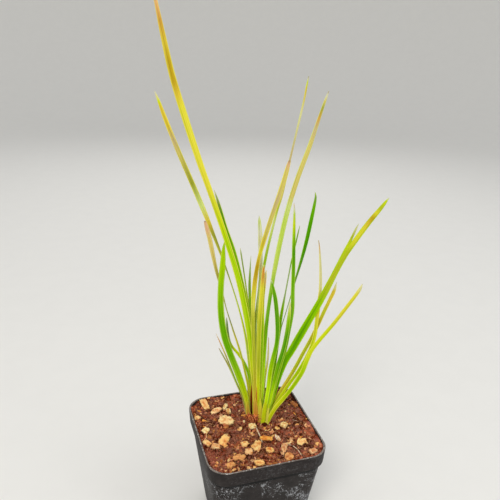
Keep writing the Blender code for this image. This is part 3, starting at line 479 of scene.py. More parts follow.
class PottedGrassStudio(bpy.types.PropertyGroup):
    """The floor and the light."""
    floor_radius: FloatProperty(name="Floor radius", description="Radius of the flat floor", unit="LENGTH",
                                default=1.6)
    wall_radius: FloatProperty(name="Sweep", description="Radius of the sweep at the floor's edge",
                               unit="LENGTH", default=0.9)
    floor: colour("Floor", "Pale floor", "ECEAE4")
    sky: colour("Sky", "Soft light from all round", "F4F6FA")
    sky_strength: share("Sky strength", "Strength of the light from all round", 0.62, 4.0)
    key_power: FloatProperty(name="Key", description="Power of the main lamp", unit="POWER", default=7.6)
    fill_power: FloatProperty(name="Fill", description="Power of the filling lamp", unit="POWER", default=2.5)
    back_power: FloatProperty(name="Back", description="Power of the lamp behind", unit="POWER", default=2.5)


class PottedGrassSettings(bpy.types.PropertyGroup):
    """All the settings of the potted grass."""
    pot: PointerProperty(type=PottedGrassPot)
    soil: PointerProperty(type=PottedGrassSoil)
    bark: PointerProperty(type=PottedGrassBark)
    blades: PointerProperty(type=PottedGrassBlades)
    tints: PointerProperty(type=PottedGrassBladeTints)
    studio: PointerProperty(type=PottedGrassStudio)


def settings():
    """The settings in use."""
    return bpy.context.scene.potted_grass


# Places

def sight(x, y):
    """The direction in which a pixel of the photograph was seen."""
    return VIEW_TURN @ Vector((x - PHOTO_MIDDLE, PHOTO_MIDDLE - y, -PHOTO_FOCAL))


def seen_at(x, y, depth):
    """The point at a depth in the plant that was seen at a pixel."""
    ray = sight(x, y)
    return EYE + ray * (depth - EYE.dot(AWAY)) / ray.dot(AWAY)


def seen_at_height(x, y, height):
    """The point at a height that was seen at a pixel."""
    ray = sight(x, y)
    return EYE + ray * (height - EYE.z) / ray.z


def seen_on_soil(x, y):
    """The point of the loose surface that was seen at a pixel."""
    spot = seen_at_height(x, y, SOIL_LEVEL)
    for _ in range(3):
        spot = seen_at_height(x, y, ground(spot.x, spot.y))
    return spot


def plant_place(across, depth, height):
    """The point at a place in the plant."""
    return ACROSS * across + AWAY * depth + Vector((0, 0, height))


def smoothstep(low, high, value):
    """Rise smoothly from 0 at low to 1 at high."""
    t = min(1, max(0, (value - low) / (high - low)))
    return t * t * (3 - 2 * t)


def soil_tone(x, y):
    """How light the peat is at a place: 0.5 on the whole, with darker and lighter patches."""
    tone = 0.5 + 0.3 * noise.noise(Vector((x, y, 7.0)) / 7.5)
    for patch_x, patch_y, reach, change in PATCHES:
        tone += change * (1 - smoothstep(0.4 * reach, reach, math.hypot(x - patch_x, y - patch_y)))
    return tone


def cell_bump(x, y, size, slice_):
    """How near a place is to the middle of its crumb: 1 in the middle, 0 in the gaps."""
    distances, _ = noise.voronoi(Vector((x / size, y / size, slice_)))
    return max(0, 1 - 1.6 * distances[0])


def ground(x, y):
    """The height of the loose surface: the solid soil's top with crumbs, pits and the beds of the chips."""
    from_crown = (Vector((x, y, 0)) - plant_place(*CROWN_MIDDLE, 0)).length
    lumps = noise.noise(Vector((x, y, SOIL_NOISE_SLICE)) / SOIL_LUMP)
    height = SOIL_LEVEL + SOIL_RELIEF * lumps - SOIL_DIP * max(0, 1 - from_crown / SOIL_DIP_REACH)
    height += 0.7 * noise.fractal(Vector((x, y, 0)) / 4.2, 0.8, 2.1, 3)
    height += 0.8 * (cell_bump(x, y, 2.3, 1.5) - 0.45) + 0.35 * (cell_bump(x, y, 1.0, 4.5) - 0.4)
    height = min(height, SOIL_LEVEL + 1.2)
    bank = SOIL_BANK * (0.5 + 0.5 * smoothstep(0, 12, max(x, y)))
    height += bank * smoothstep(SOIL_BANK_START, SOIL_BANK_END, max(abs(x), abs(y)))
    for chip, bottom in zip(CHIPS, chip_bottoms()):
        bed = bottom + 0.15
        height += (bed - height) * (1 - smoothstep(0.95, 1.55, chip_reach(chip, x, y)))
    return height


def chip_reach(chip, x, y):
    """How far out on a chip a place is: 0 in its middle, 1 on its outline, 9 well away from it."""
    offset = Vector((x - chip.x, y - chip.y))
    if offset.length > chip.length:
        return 9
    offset.rotate(Matrix.Rotation(math.radians(-chip.turn), 2))
    return math.hypot(2 * offset.x / chip.length, 2 * offset.y / chip.width)


def nearest_chip(x, y):
    """How far out a place is on the chip that it is nearest to."""
    return min(chip_reach(chip, x, y) for chip in CHIPS)


@cache
def chip_bottoms():
    """The heights of the chips' solids above the floor."""
    return [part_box(f"bark_chip_{i:02d}")[0].z / MM for i in range(1, len(CHIPS) + 1)]


# Curves

def hermite(start, end, start_pull, end_pull, t):
    """A place on a cubic curve between two knots with a given pull at each."""
    return (start * (2 * t ** 3 - 3 * t * t + 1) + start_pull * (t ** 3 - 2 * t * t + t)
            + end * (3 * t * t - 2 * t ** 3) + end_pull * (t ** 3 - t * t))


def smooth_path(knots, spacing):
    """Stations at most about one spacing apart on a centripetal Catmull-Rom curve through the knots."""
    padded = [2 * knots[0] - knots[1], *knots, 2 * knots[-1] - knots[-2]]
    stations = []
    for a, b, c, d in zip(padded, padded[1:], padded[2:], padded[3:]):
        before, here, after = (math.sqrt((q - p).xyz.length) for p, q in ((a, b), (b, c), (c, d)))
        start_pull = (c - b) + here * ((b - a) / before - (c - a) / (before + here))
        end_pull = (c - b) + here * ((d - c) / after - (d - b) / (here + after))
        steps = math.ceil(here * here / spacing)
        stations += [hermite(b, c, start_pull, end_pull, step / steps) for step in range(steps)]
    return [*stations, knots[-1]]


def closed_outline(corners, steps, pull=0.5):
    """A closed curve through the corners, as points: the smaller the pull, the sharper the corners."""
    points = []
    for i in range(len(corners)):
        a, b, c, d = (Vector(corners[(i + k) % len(corners)]) for k in (-1, 0, 1, 2))
        points += [hermite(b, c, (c - a) * pull, (d - b) * pull, step / steps) for step in range(steps)]
    return points


# Meshes

class Heap:
    """Gathers the points and faces of a mesh, with a tone and a place in the grain for each point."""

    def __init__(self):
        self.points, self.faces, self.tones, self.grains = [], [], [], []

    def add(self, points, faces, tone=0.0, grains=None, middle=None, form=None):
        """Add a shape, with one tone or one for each point; a middle and a form put it in its place."""
        if middle is not None:
            points = [middle + form @ point for point in points]
        start = len(self.points)
        self.points += points
        self.faces += [[start + i for i in face] for face in faces]
        self.tones += tone if isinstance(tone, list) else [tone] * len(points)
        self.grains += grains or points

    def mesh(self, name, smooth=True):
        """Make the mesh, from millimetres."""
        made = bpy.data.meshes.new(name)
        made.from_pydata([Vector(point) * MM for point in self.points], [], self.faces)
        made.validate()
        if smooth:
            made.shade_smooth()
        put_values(made, "tone", self.tones)
        grain = made.attributes.new("grain", "FLOAT_VECTOR", "POINT")
        grain.data.foreach_set("vector", [value for point in self.grains for value in point])
        return made


def put_values(mesh, name, values):
    """Store one number for each point of a mesh."""
    mesh.attributes.new(name, "FLOAT", "POINT").data.foreach_set("value", values)


def loft(rings, closed=True):
    """Points and faces of rings joined one to the next, with both ends filled if closed."""
    around = len(rings[0])
    points = [point for ring in rings for point in ring]
    faces = []
    for low in range(0, len(points) - around, around):
        high = low + around
        faces += [(low + i, low + (i + 1) % around, high + (i + 1) % around, high + i) for i in range(around)]
    if closed:
        faces += [tuple(reversed(range(around))), tuple(range(len(points) - around, len(points)))]
    return points, faces


def add_piece(mesh, materials, slot, *replaced):
    """Link a mesh as a piece of the plant with the mesh's name, fastened to the root, and hide the solids it
    stands for.
    """
    for material in materials:
        mesh.materials.append(material)
    piece = bpy.data.objects.new(mesh.name, mesh)
    bpy.context.scene.collection.objects.link(piece)
    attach(piece, "root")
    if replaced:
        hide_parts(*replaced)
    return piece


# Shader nodes

class Wire:
    """An output in a node tree. Adding, subtracting and multiplying wires puts Math nodes in their tree."""

    def __init__(self, tree, socket):
        self.tree, self.socket = tree, socket

    def __getitem__(self, name):
        """Another output of the same node."""
        return Wire(self.tree, self.socket.node.outputs[name])

    def math(self, operation, other=0.0):
        """What a Math node makes of this wire and another value."""
        return put("Math", {0: self, 1: other}, operation=operation)

    def __add__(self, other):
        return self.math("ADD", other)

    def __sub__(self, other):
        return self.math("SUBTRACT", other)

    def __rsub__(self, other):
        return put("Math", {0: other, 1: self}, operation="SUBTRACT")

    def __mul__(self, other):
        if isinstance(other, tuple):
            return put("VectorMath", {0: self, 1: other}, operation="MULTIPLY")
        return self.math("MULTIPLY", other)


def fill(tree, node, inputs):
    """Fill a node's inputs with wires or values; a colour's last part may be left out."""
    for name, value in inputs.items():
        socket = node.inputs[name]
        if isinstance(value, Wire):
            tree.links.new(value.socket, socket)
        else:
            socket.default_value = (*value, 1) if socket.type == "RGBA" and len(value) == 3 else value


def put(kind, inputs, output=0, tree=None, **options):
    """Add a node to the tree that its wires come from, and give one of its outputs."""
    tree = tree or next(value.tree for value in inputs.values() if isinstance(value, Wire))
    node = tree.nodes.new("ShaderNode" + kind)
    for name, value in options.items():
        setattr(node, name, value)
    fill(tree, node, inputs)
    return Wire(tree, node.outputs[output])


def mixed(part, first, second, blend="MIX"):
    """Two colours mixed."""
    return put("Mix", {0: part, 6: first, 7: second}, 2, data_type="RGBA", blend_type=blend)


def fade(value, low, high, start=0.0, end=1.0):
    """A value carried smoothly from the range low to high into the range start to end."""
    inputs = {"Value": value, "From Min": low, "From Max": high, "To Min": start, "To Max": end}
    return put("MapRange", inputs, interpolation_type="SMOOTHSTEP")


def ramp(value, stops):
    """A colour that runs through the stops, each a place from 0 to 1 and a colour."""
    made = put("ValToRGB", {0: value})
    band = made.socket.node.color_ramp
    for place, tint in stops[len(band.elements):]:
        band.elements.new(place)
    for element, (place, tint) in zip(band.elements, stops):
        element.position = place
        element.color = (*tint, 1)
    return made


def rough(vector, scale, detail=3.0, roughness=0.6):
    """Noise from 0 to 1."""
    return put("TexNoise", {"Vector": vector, "Scale": scale, "Detail": detail, "Roughness": roughness})


def together(*parts):
    """A vector of three values."""
    return put("CombineXYZ", dict(enumerate(parts)))


def start_group(name, **inputs):
    """A shader node group with an input for each number, colour or, for None, vector: what it is given."""
    group = bpy.data.node_groups.new(name, "ShaderNodeTree")
    for title, default in inputs.items():
        kind = {float: "Float", tuple: "Color"}.get(type(default), "Vector")
        socket = group.interface.new_socket(name=title, in_out="INPUT", socket_type="NodeSocket" + kind)
        if default is not None:
            socket.default_value = default
    return Wire(group, group.nodes.new("NodeGroupInput").outputs[0])


def finish_group(given, **results):
    """Lead the results out of a group."""
    group = given.tree
    for title in results:
        kind = "Color" if title == "Color" else "Float"
        group.interface.new_socket(name=title, in_out="OUTPUT", socket_type="NodeSocket" + kind)
    fill(group, group.nodes.new("NodeGroupOutput"), results)


def use_group(tree, name, inputs):
    """Place a node group in a tree, with its inputs filled."""
    node = tree.nodes.new("ShaderNodeGroup")
    node.node_tree = bpy.data.node_groups[name]
    fill(tree, node, inputs)
    return Wire(tree, node.outputs[0])


GREY = (0.5, 0.5, 0.5, 1.0)


def make_blade_group():
    """Node group: a blade's veins, streaks and pale margins over its own colour."""
    given = start_group("Blade Pattern", Shade=GREY, Edge=GREY, Streak=GREY, Across=0.0, Along=0.0, Seed=0.0,
                        Veins=6.0, Margin=0.3, Streaks=0.5)
    shade, edge_shade, across, along = given["Shade"], given["Edge"], given["Across"], given["Along"]
    seed, streaks = given["Seed"], given["Streaks"]
    wobble = rough(together(along * 0.05, seed, across.math("SIGN")), 1.0) - 0.5
    margin = fade(across.math("ABSOLUTE") + wobble * 0.5,
                  1.0 - given["Margin"] * 1.5, 1.0 - given["Margin"] * 0.4)
    rib_place = seed.math("SINE") * 0.3 + wobble * 0.3
    rib = fade((across - rib_place).math("ABSOLUTE"), 0.30, 0.05)
    vein = ((across * given["Veins"] * math.pi).math("SINE") + 1.0) * 0.5
    streak = rough(together(across * 2.9, along * 0.022, seed), 0.9, 2.0)
    dark = mixed(1.0, shade, given["Streak"], "MULTIPLY")
    pale = mixed(0.4, shade, edge_shade)
    body = mixed(rib * (streaks * 0.35), shade, dark)
    body = mixed(fade(streak, 0.5, 0.33) * streaks, body, dark)
    body = mixed(fade(streak, 0.5, 0.68) * streaks, body, pale)
    body = mixed(vein * (streaks * 0.35), body, dark)
    body = mixed(margin * 0.8, body, edge_shade)
    spots = rough(together(across * 2.5, along * 0.45, seed), 1.6, 2.0)
    body = mixed(fade(spots, 0.70, 0.78, 0.0, 0.45), body, mixed(0.5, shade, (0.30, 0.16, 0.05)))
    finish_group(given, Color=body, Roughness=fade(streak, 0.2, 0.8, 0.34, 0.56),
                 Height=vein * 0.6 + streak * 0.6)


def make_peat_group():
    """Node group: the mottled colour and the crumbly relief of peat."""
    given = start_group("Peat Grain", Black=GREY, Brown=GREY, Purple=GREY, Red=GREY, Light=GREY, Tone=0.5,
                        Place=None)
    fine = rough(given["Place"], 1900.0, 3.0, 0.7)
    mottle = rough(given["Place"], 420.0, 4.0, 0.7) * 0.55 + fine * 0.45 + (given["Tone"] - 0.5)
    body = mixed(fade(mottle, 0.28, 0.43), given["Black"], given["Brown"])
    warm = mixed(fade(rough(given["Place"], 130.0), 0.42, 0.56), given["Purple"], given["Red"])
    body = mixed(fade(mottle, 0.42, 0.58), body, warm)
    body = mixed(fade(mottle, 0.66, 0.88), body, given["Light"])
    finish_group(given, Color=body, Roughness=fade(fine, 0.2, 0.8, 0.72, 0.98), Height=mottle)


def make_bark_group():
    """Node group: the grain of bark, pale and dark along it, with worn places and stained pores."""
    given = start_group("Bark Grain", Shade=GREY, Bright=GREY, Stain=GREY, Tone=0.5, Staining=0.5, Place=None)
    shade, tone = given["Shade"], given["Tone"]
    along = rough(given["Place"] * (0.45, 1.5, 1.5), 1.0, 4.0, 0.7)
    pores = rough(given["Place"] * (0.9, 1.7, 1.7), 1.0, 4.0, 0.75)
    body = mixed(fade(along, 0.34, 0.56), mixed(1.0, shade, (0.80, 0.54, 0.32), "MULTIPLY"), shade)
    body = mixed(fade(pores - tone, 0.46, 0.70), body, given["Bright"])
    worn = mixed(1.0, shade, (0.66, 0.36, 0.18), "MULTIPLY")
    body = mixed(fade(pores + tone, 0.56, 0.84, 0.0, 0.75), body, worn)
    stain = fade(pores, 0.38, 0.28) * given["Staining"]
    body = mixed(stain, body, given["Stain"])
    finish_group(given, Color=body, Roughness=fade(pores, 0.2, 0.8, 0.65, 0.95), Height=along + pores - stain)


def make_dust_group():
    """Node group: specks, spots and smears of dust, as masks."""
    given = start_group("Dust Specks", Amount=0.5, Scale=1.0, Place=None)
    spread = fade(rough(given["Place"], given["Scale"] * 70.0), 0.38, 0.66)
    masks = []
    for size, limit in ((420.0, 0.22), (900.0, 0.36), (1900.0, 0.42)):
        cells = put("TexVoronoi", {"Vector": given["Place"], "Scale": given["Scale"] * size,
                                   "Randomness": 1.0})
        lot = put("SeparateColor", {0: cells["Color"]})
        reach = lot.math("POWER", 3.0) * limit * (spread + 0.25) * (given["Amount"] * 2.2)
        masks.append(fade(reach - cells["Distance"], -0.02, 0.06))
    specks = masks[0].math("MAXIMUM", masks[1]).math("MAXIMUM", masks[2])
    smears = rough(given["Place"] * (1.0, 1.0, 0.28), given["Scale"] * 480.0, 5.0, 0.75)
    finish_group(given, Mask=specks * fade(smears, 0.3, 0.6, 0.5, 1.0),
                 Smear=fade(smears, 0.55, 0.78) * (spread * 0.6) * given["Amount"])


def start_material(name):
    """A new material, and its node tree."""
    material = bpy.data.materials.new(name)
    material.use_nodes = True
    return material, material.node_tree


def finish_material(material, colour, roughness, specular=0.5, height=None, relief=0.0, strength=1.0):
    """Lead a colour, a roughness and a relief to a material's shader."""
    inputs = {"Base Color": colour, "Roughness": roughness, "Metallic": 0.0, "Specular IOR Level": specular}
    if height:
        inputs["Normal"] = put("Bump", {"Height": height, "Distance": relief, "Strength": strength})
    fill(material.node_tree, material.node_tree.nodes["Principled BSDF"], inputs)
    return material


def stored(tree, name, output="Fac"):
    """A value stored on the mesh."""
    return put("Attribute", {}, output, tree, attribute_name=name)


def object_place(tree):
    """The place on the object."""
    return put("TexCoord", {}, "Object", tree)


SEED_STEP = 7.31
DRY_STREAKS = 1.25


def blade_material(leaf, seed):
    """The material of one leaf: its colours from foot to tip under the blade pattern."""
    look, tints = settings().blades, settings().tints
    material, tree = start_material(f"{leaf.name} blade")
    widest = max(knot[2] for knot in leaf.path)
    dry = leaf.margin == "cream"
    pattern = use_group(tree, "Blade Pattern", {
        "Shade": ramp(stored(tree, "along"), shade_stops(leaf)),
        "Edge": getattr(tints, leaf.margin),
        "Across": stored(tree, "across"),
        "Along": stored(tree, "run"),
        "Seed": seed * SEED_STEP,
        "Veins": max(2, round(widest * MM / look.vein_spacing / 2)),
        "Margin": look.margin,
        "Streaks": look.streaks * (DRY_STREAKS if dry else 1.0),
        "Streak": look.dry_streak if dry else look.green_streak,
    })
    return finish_material(material, pattern["Color"], pattern["Roughness"], specular=0.03,
                           height=pattern["Height"], relief=look.relief)


def peat_material(name):
    """Peat: darker or lighter by its tone."""
    material, tree = start_material(name)
    look = settings().soil
    grain = use_group(tree, "Peat Grain", {
        "Black": look.black, "Brown": look.brown, "Purple": look.purple, "Red": look.red, "Light": look.light,
        "Tone": stored(tree, "tone"), "Place": object_place(tree),
    })
    return finish_material(material, grain["Color"], grain["Roughness"], specular=0.1,
                           height=grain["Height"], relief=0.35 * MM)


def bark_material(shade_name):
    """One colour of bark, made the first time that it is asked for."""
    made = bpy.data.materials.get(f"{shade_name} bark")
    if made:
        return made
    material, tree = start_material(f"{shade_name} bark")
    shade = getattr(settings().bark, shade_name)
    bright = [part + (most - part) * 0.7 * part for part, most in zip(shade, (1.0, 0.88, 0.62))]
    grain = use_group(tree, "Bark Grain", {
        "Shade": shade, "Bright": bright, "Stain": settings().soil.brown, "Tone": stored(tree, "tone"),
        "Staining": 0.8, "Place": stored(tree, "grain", "Vector") * (0.5, 0.5, 0.5),
    })
    return finish_material(material, grain["Color"], grain["Roughness"], specular=0.3,
                           height=grain["Height"], relief=0.4 * MM)


def strand_material(name, deep, bright):
    """Fibre or straw: from one colour to another by its tone, darker here and there along it."""
    material, tree = start_material(name)
    shade = mixed(stored(tree, "tone"), deep, bright)
    patches = rough(object_place(tree), 700.0)
    dark = mixed(1.0, shade, (0.5, 0.38, 0.32), "MULTIPLY")
    return finish_material(material, mixed(fade(patches, 0.52, 0.66), shade, dark),
                           fade(patches, 0.3, 0.7, 0.6, 0.85))


def plastic_material():
    """The pot's black plastic: dusty below its collar, worn pale along its rim with painted glints, painted
    shade under the collar.
    """
    look = settings().pot
    material, tree = start_material("black pot plastic")
    place = object_place(tree)
    axes = put("SeparateXYZ", {0: place})
    height = axes["Z"]
    collar_foot = look.height - look.collar_height
    below = (fade(height, collar_foot - 1.9 * MM, collar_foot - 3.2 * MM)
             * fade(height, 0.05 * look.height, 0.6 * look.height, 0.1, 1.0))
    amount = fade(axes["X"], -22 * MM, 32 * MM, 0.66, 1.05)
    dust = use_group(tree, "Dust Specks", {"Amount": amount, "Scale": 1.0, "Place": place})
    specks = dust["Mask"] * (below * 0.93 + 0.07)
    smears = dust["Smear"] * (below * 0.45)
    wear = rough(place, 260.0, 5.0, 0.7)
    scuffs = rough(place * (1.0, 1.0, 3.0), 900.0, 4.0, 0.7)
    body = mixed(fade(wear, 0.35, 0.7), look.plastic, [part * 1.9 for part in look.plastic])
    # Painted shade: a nearly black band on the wall just under the collar, standing for the collar's shadow.
    shaded_seam = fade((height - (collar_foot - 1.7 * MM)).math("ABSOLUTE"), 1.3 * MM, 0.8 * MM)
    body = mixed(shaded_seam * 0.95, body, (0.001, 0.001, 0.001))
    body = mixed(smears * 0.8, body, look.dust)
    body = mixed(specks * 0.8, body, look.dust)
    rim = (fade(height, look.height - 0.38 * MM, look.height - 0.1 * MM)
           * fade(wear + scuffs * 0.4, 0.5, 0.85, 0.3, 1.0))
    body = mixed(rim, body, look.worn)
    # Painted highlights: small white glints scattered along the rim's top.
    glint = rim * fade(rough(place, 1400.0, 2.0), 0.58, 0.66)
    body = mixed(glint, body, (0.9, 0.9, 0.88))
    matt = specks.math("MAXIMUM", smears).math("MAXIMUM", rim)
    roughness = fade(scuffs, 0.3, 0.7, 0.5, 0.64) + matt * 0.35
    roughness.socket.node.use_clamp = True
    return finish_material(material, body, roughness, specular=0.12,
                           height=scuffs + specks * 0.6, relief=0.06 * MM, strength=0.6)


# The pot

QUARTERS = ((1, 1), (-1, 1), (-1, -1), (1, -1))
CORNER_STEPS = 12
POT_CREASE = 50


def arc(centre, radius, start, end, steps):
    """Points of an arc in a plane."""
    angles = (math.radians(start + (end - start) * step / steps) for step in range(steps + 1))
    return [(centre[0] + radius * math.cos(a), centre[1] + radius * math.sin(a)) for a in angles]


def pot_profile(look):
    """The pot's section as half widths and heights in millimetres, up the outside and down the inside."""
    rim, collar, body, base = (
        side / MM / 2 for side in (look.rim_side, look.collar_side, look.body_side, look.base_side))
    top, foot = look.height / MM, look.height / MM - look.collar_height / MM
    edge, wall, lip = look.rounding / MM, look.wall / MM, look.wall / MM / 2
    outside = [(base - 1.2, 0), *arc((base - 0.6, 0.6), 0.6, -90, 0, 4), (body, foot - 0.5)]
    outside += arc((collar - edge, foot + edge), edge, -90, 0, 4)
    outside += arc((rim - lip, top - lip), lip, 0, 180, 10)
    return outside + [(collar - wall, foot + 0.8), (body - wall, foot - 0.8), (base - wall, look.floor / MM)]


def rounded_square(half, corner, height):
    """The points of a square with round corners, anticlockwise from above."""
    reach = half - corner
    points = []
    for quarter, (sx, sy) in enumerate(QUARTERS):
        points += arc((sx * reach, sy * reach), corner, 90 * quarter, 90 * quarter + 90, CORNER_STEPS)
    return [Vector((*point, height)) for point in points]


def make_pot():
    """The pot, with a bead round its rim and a drain hole near each corner of its floor."""
    look = settings().pot
    corner, base_corner = look.rim_corner / MM, look.base_corner / MM
    body_half, base_half = look.body_side / MM / 2, look.base_side / MM / 2
    rings = []
    for half, height in pot_profile(look):
        part = min(1, max(0, (half - base_half) / (body_half - base_half)))
        rings.append(rounded_square(half, base_corner + (corner - base_corner) * part, height))
    heap = Heap()
    heap.add(*loft(rings))
    mesh = heap.mesh("pot_shell")
    mesh.set_sharp_from_angle(angle=math.radians(POT_CREASE))
    pot = add_piece(mesh, [plastic_material()], "pot_plastic", "pot")
    for sx, sy in QUARTERS:
        drill_hole(pot, look, (sx * look.drain_place, sy * look.drain_place, 0))


def drill_hole(pot, look, place):
    """Cut a drain hole out of the pot's floor."""
    bpy.ops.mesh.primitive_cylinder_add(vertices=40, radius=look.drain_radius, depth=4 * look.floor,
                                        location=place)
    drill = bpy.context.object
    cut = pot.modifiers.new("drain hole", "BOOLEAN")
    cut.object = drill
    cut.solver = "EXACT"
    bored = bpy.data.meshes.new_from_object(pot.evaluated_get(bpy.context.evaluated_depsgraph_get()))
    pot.modifiers.remove(cut)
    pot.data = bored
    bpy.data.objects.remove(drill, do_unlink=True)


# The soil

def soil_spot(u, v, half, corner):
    """The place in a square with round corners that stands for a place in the square from -1 to 1."""
    widest = max(abs(u), abs(v))
    if widest == 0:
        return 0.0, 0.0
    edge = Vector((abs(u), abs(v))) / widest * half
    part = 1.0
    if min(edge) > half - corner:
        middle = Vector((half - corner, half - corner))
        dot = edge.dot(middle)
        part = (dot + math.sqrt(dot * dot - edge.dot(edge) * (middle.dot(middle) - corner * corner)))
        part /= edge.dot(edge)
    return u * half * part, v * half * part


def make_soil():
    """The soil: a crumbly surface over a body that fills the pot."""
    pot, cells = settings().pot, settings().soil.cells
    wall, wide = pot.wall / MM, cells + 1
    half, corner = pot.rim_side / MM / 2 - wall - 0.15, pot.rim_corner / MM - wall
    points = []
    for row in range(wide):
        for column in range(wide):
            x, y = soil_spot(2 * column / cells - 1, 2 * row / cells - 1, half, corner)
            points.append(Vector((x, y, ground(x, y))))
    faces = [(r * wide + c, r * wide + c + 1, (r + 1) * wide + c + 1, (r + 1) * wide + c)
             for r in range(cells) for c in range(cells)]
    border = [*range(cells), *(r * wide + cells for r in range(cells)),
              *(cells * wide + cells - c for c in range(cells)), *((cells - r) * wide for r in range(cells))]
    above = [points[i] for i in border]
    body_side = pot.body_side / MM
    for side, level in ((body_side + 1.0, SOIL_LEVEL - 5), (body_side - 0.4, SOIL_LEVEL - 9),
                        (pot.base_side / MM, pot.floor / MM + 0.3)):
        scale = (side / 2 - wall - 0.35) / half
        ring = list(range(len(points), len(points) + len(border)))
        points += [Vector((p.x * scale, p.y * scale, level)) for p in above]
        for i in range(len(border)):
            j = (i + 1) % len(border)
            faces.append((border[j], border[i], ring[i], ring[j]))
        border = ring
    faces.append(tuple(reversed(border)))
    heap = Heap()
    # Painted shadow: the peat's tone is lowered in a ring round each chip, where the chips would shade the
    # soil.
    heap.add(points, faces, [soil_tone(p.x, p.y) - 0.06 - 0.3 * smoothstep(1.6, 1.1, nearest_chip(p.x, p.y))
                             for p in points])
    add_piece(heap.mesh("soil_surface"), [peat_material("peat")], "soil", "soil")


def lump_shapes(kinds, seed):
    """Some rough small lumps, each as points about its middle and faces."""
    draw = random.Random(seed)
    shapes = []
    for kind in range(kinds):
        ball = bmesh.new()
        bmesh.ops.create_icosphere(ball, subdivisions=1 if kind % 3 else 2, radius=1)
        for vert in ball.verts:
            swell = 1 + 0.55 * noise.noise(vert.co * 1.7 + Vector((kind * 5.3, 0, 0)))
            vert.co *= swell + draw.uniform(-0.14, 0.14)
        shapes.append(([vert.co.copy() for vert in ball.verts],
                       [tuple(vert.index for vert in face.verts) for face in ball.faces]))
        ball.free()
    return shapes


def random_turn(draw):
    """Any rotation."""
    spin, tip, roll = (Matrix.Rotation(draw.uniform(0, most), 3, axis)
                       for most, axis in ((math.tau, "Z"), (math.pi, "X"), (math.tau, "Y")))
    return spin @ tip @ roll


def soil_draw(draw, edge=0.6):
    """A random place on the soil, a little inside its edge."""
    pot = settings().pot
    half = pot.rim_side / MM / 2 - pot.wall / MM - edge
    return soil_spot(draw.uniform(-1, 1), draw.uniform(-1, 1), half, pot.rim_corner / MM - 1)


def make_crumbs():
    """Loose crumbs of peat on the soil."""
    draw = random.Random(11)
    shapes = lump_shapes(12, 5)
    heap = Heap()
    for _ in range(settings().soil.crumbs):
        x, y = soil_draw(draw)
        if nearest_chip(x, y) < 0.9:
            continue
        size = 0.22 + 0.62 * draw.random() ** 2.6
        lump = draw.choice(shapes)
        form = random_turn(draw) @ Matrix.Diagonal(
            (size * draw.uniform(0.8, 2.2), size, size * draw.uniform(0.35, 0.8)))
        heap.add(*lump, soil_tone(x, y) + draw.uniform(-0.3, 0.26),
                 middle=Vector((x, y, ground(x, y) + 0.18 * size)), form=form)
    add_piece(heap.mesh("soil_crumbs", False), [peat_material("peat crumbs")], "soil")


def tube(points, radius, sides=4):
    """Points and faces of a thin tube along a row of points, pointed at both ends."""
    rings = []
    last = len(points) - 1
    for i, point in enumerate(points):
        along = (points[min(i + 1, last)] - points[max(i - 1, 0)]).normalized()
        side = along.orthogonal().normalized()
        other = along.cross(side)
        size = radius * (0.35 + 0.65 * math.sin(math.pi * min(1, (i + 0.3) / (last + 0.6))) ** 0.5)
        rings.append([point + (side * math.cos(a) + other * math.sin(a)) * size
                      for a in (math.tau * k / sides for k in range(sides))])
    return loft(rings)


def lying_strand(draw, x, y, reach, lift=0.25, curl=0.5):
    """A row of points for a strand that starts at a place and wanders over the soil."""
    heading = draw.uniform(0, math.tau)
    bend = draw.uniform(-curl, curl)
    steps = max(5, round(reach / 0.7))
    points = []
    for i in range(steps + 1):
        arch = lift * math.sin(math.pi * i / steps) * draw.uniform(0.6, 1.4)
        points.append(Vector((x, y, ground(x, y) + 0.12 + arch)))
        heading += bend * 0.35 + draw.uniform(-0.18, 0.18)
        x += math.cos(heading) * reach / steps
        y += math.sin(heading) * reach / steps
    return points


def on_soil(points, half=33.2, corner_cut=1.82):
    """Whether a row of points stays inside the rim and its corners."""
    return all(max(abs(p.x), abs(p.y)) < half and abs(p.x) + abs(p.y) < corner_cut * half for p in points)


LOOSE_STRAWS = 7
RED_FIBRE_EVERY = 6


def make_fibres():
    """Coconut fibres all over the soil, more in the front left corner, and the pale straws."""
    draw = random.Random(23)
    look = settings().soil
    brown, red, straws = Heap(), Heap(), Heap()
    for i in range(look.fibres):
        reddish = i % RED_FIBRE_EVERY == 0
        if reddish:
            x, y = RED_CORNER[0] + draw.gauss(0, 2.6), RED_CORNER[1] + draw.gauss(0, 4.0)
        else:
            x, y = soil_draw(draw, 2)
        points = lying_strand(draw, x, y, draw.uniform(1.0, 4.2), curl=2.0)
        if on_soil(points):
            (red if reddish else brown).add(*tube(points, draw.uniform(0.1, 0.24)), draw.random() ** 1.3)
    for radius, path in STRAWS:
        level = max(seen_on_soil(*pixel).z for pixel in rows(path)) + 0.3
        knots = [seen_at_height(*pixel, level) for pixel in rows(path)]
        straws.add(*tube(smooth_path(knots, 0.5), radius, 6), 1.0)
    for _ in range(LOOSE_STRAWS):
        points = lying_strand(draw, *soil_draw(draw, 3), draw.uniform(3, 8), 0.5)
        if on_soil(points):
            straws.add(*tube(points, draw.uniform(0.09, 0.14), 5), draw.uniform(0.3, 0.7))
    for name, heap, finish, deep, bright in (
            ("soil_fibres", brown, "coconut fibre", look.fibre, look.dry_fibre),
            ("soil_red_fibres", red, "reddish fibre", look.red_fibre, look.red),
            ("soil_straws", straws, "dead straw", look.dry_fibre, look.straw)):
        add_piece(heap.mesh(name), [strand_material(finish, deep, bright)], "soil")


# The bark chips

# How far out and how high the rings of a chip are, as parts of its half width and of its half thickness
CHIP_LEVELS = ((0.05, 1.0), (0.3, 1.0), (0.6, 1.0), (0.84, 1.0), (0.97, 0.9), (1.0, 0.6), (0.98, -0.35),
               (0.88, -0.9), (0.5, -1.0), (0.05, -1.0))
BARK_CREASE = 38
TILT_LIFT = 2.2


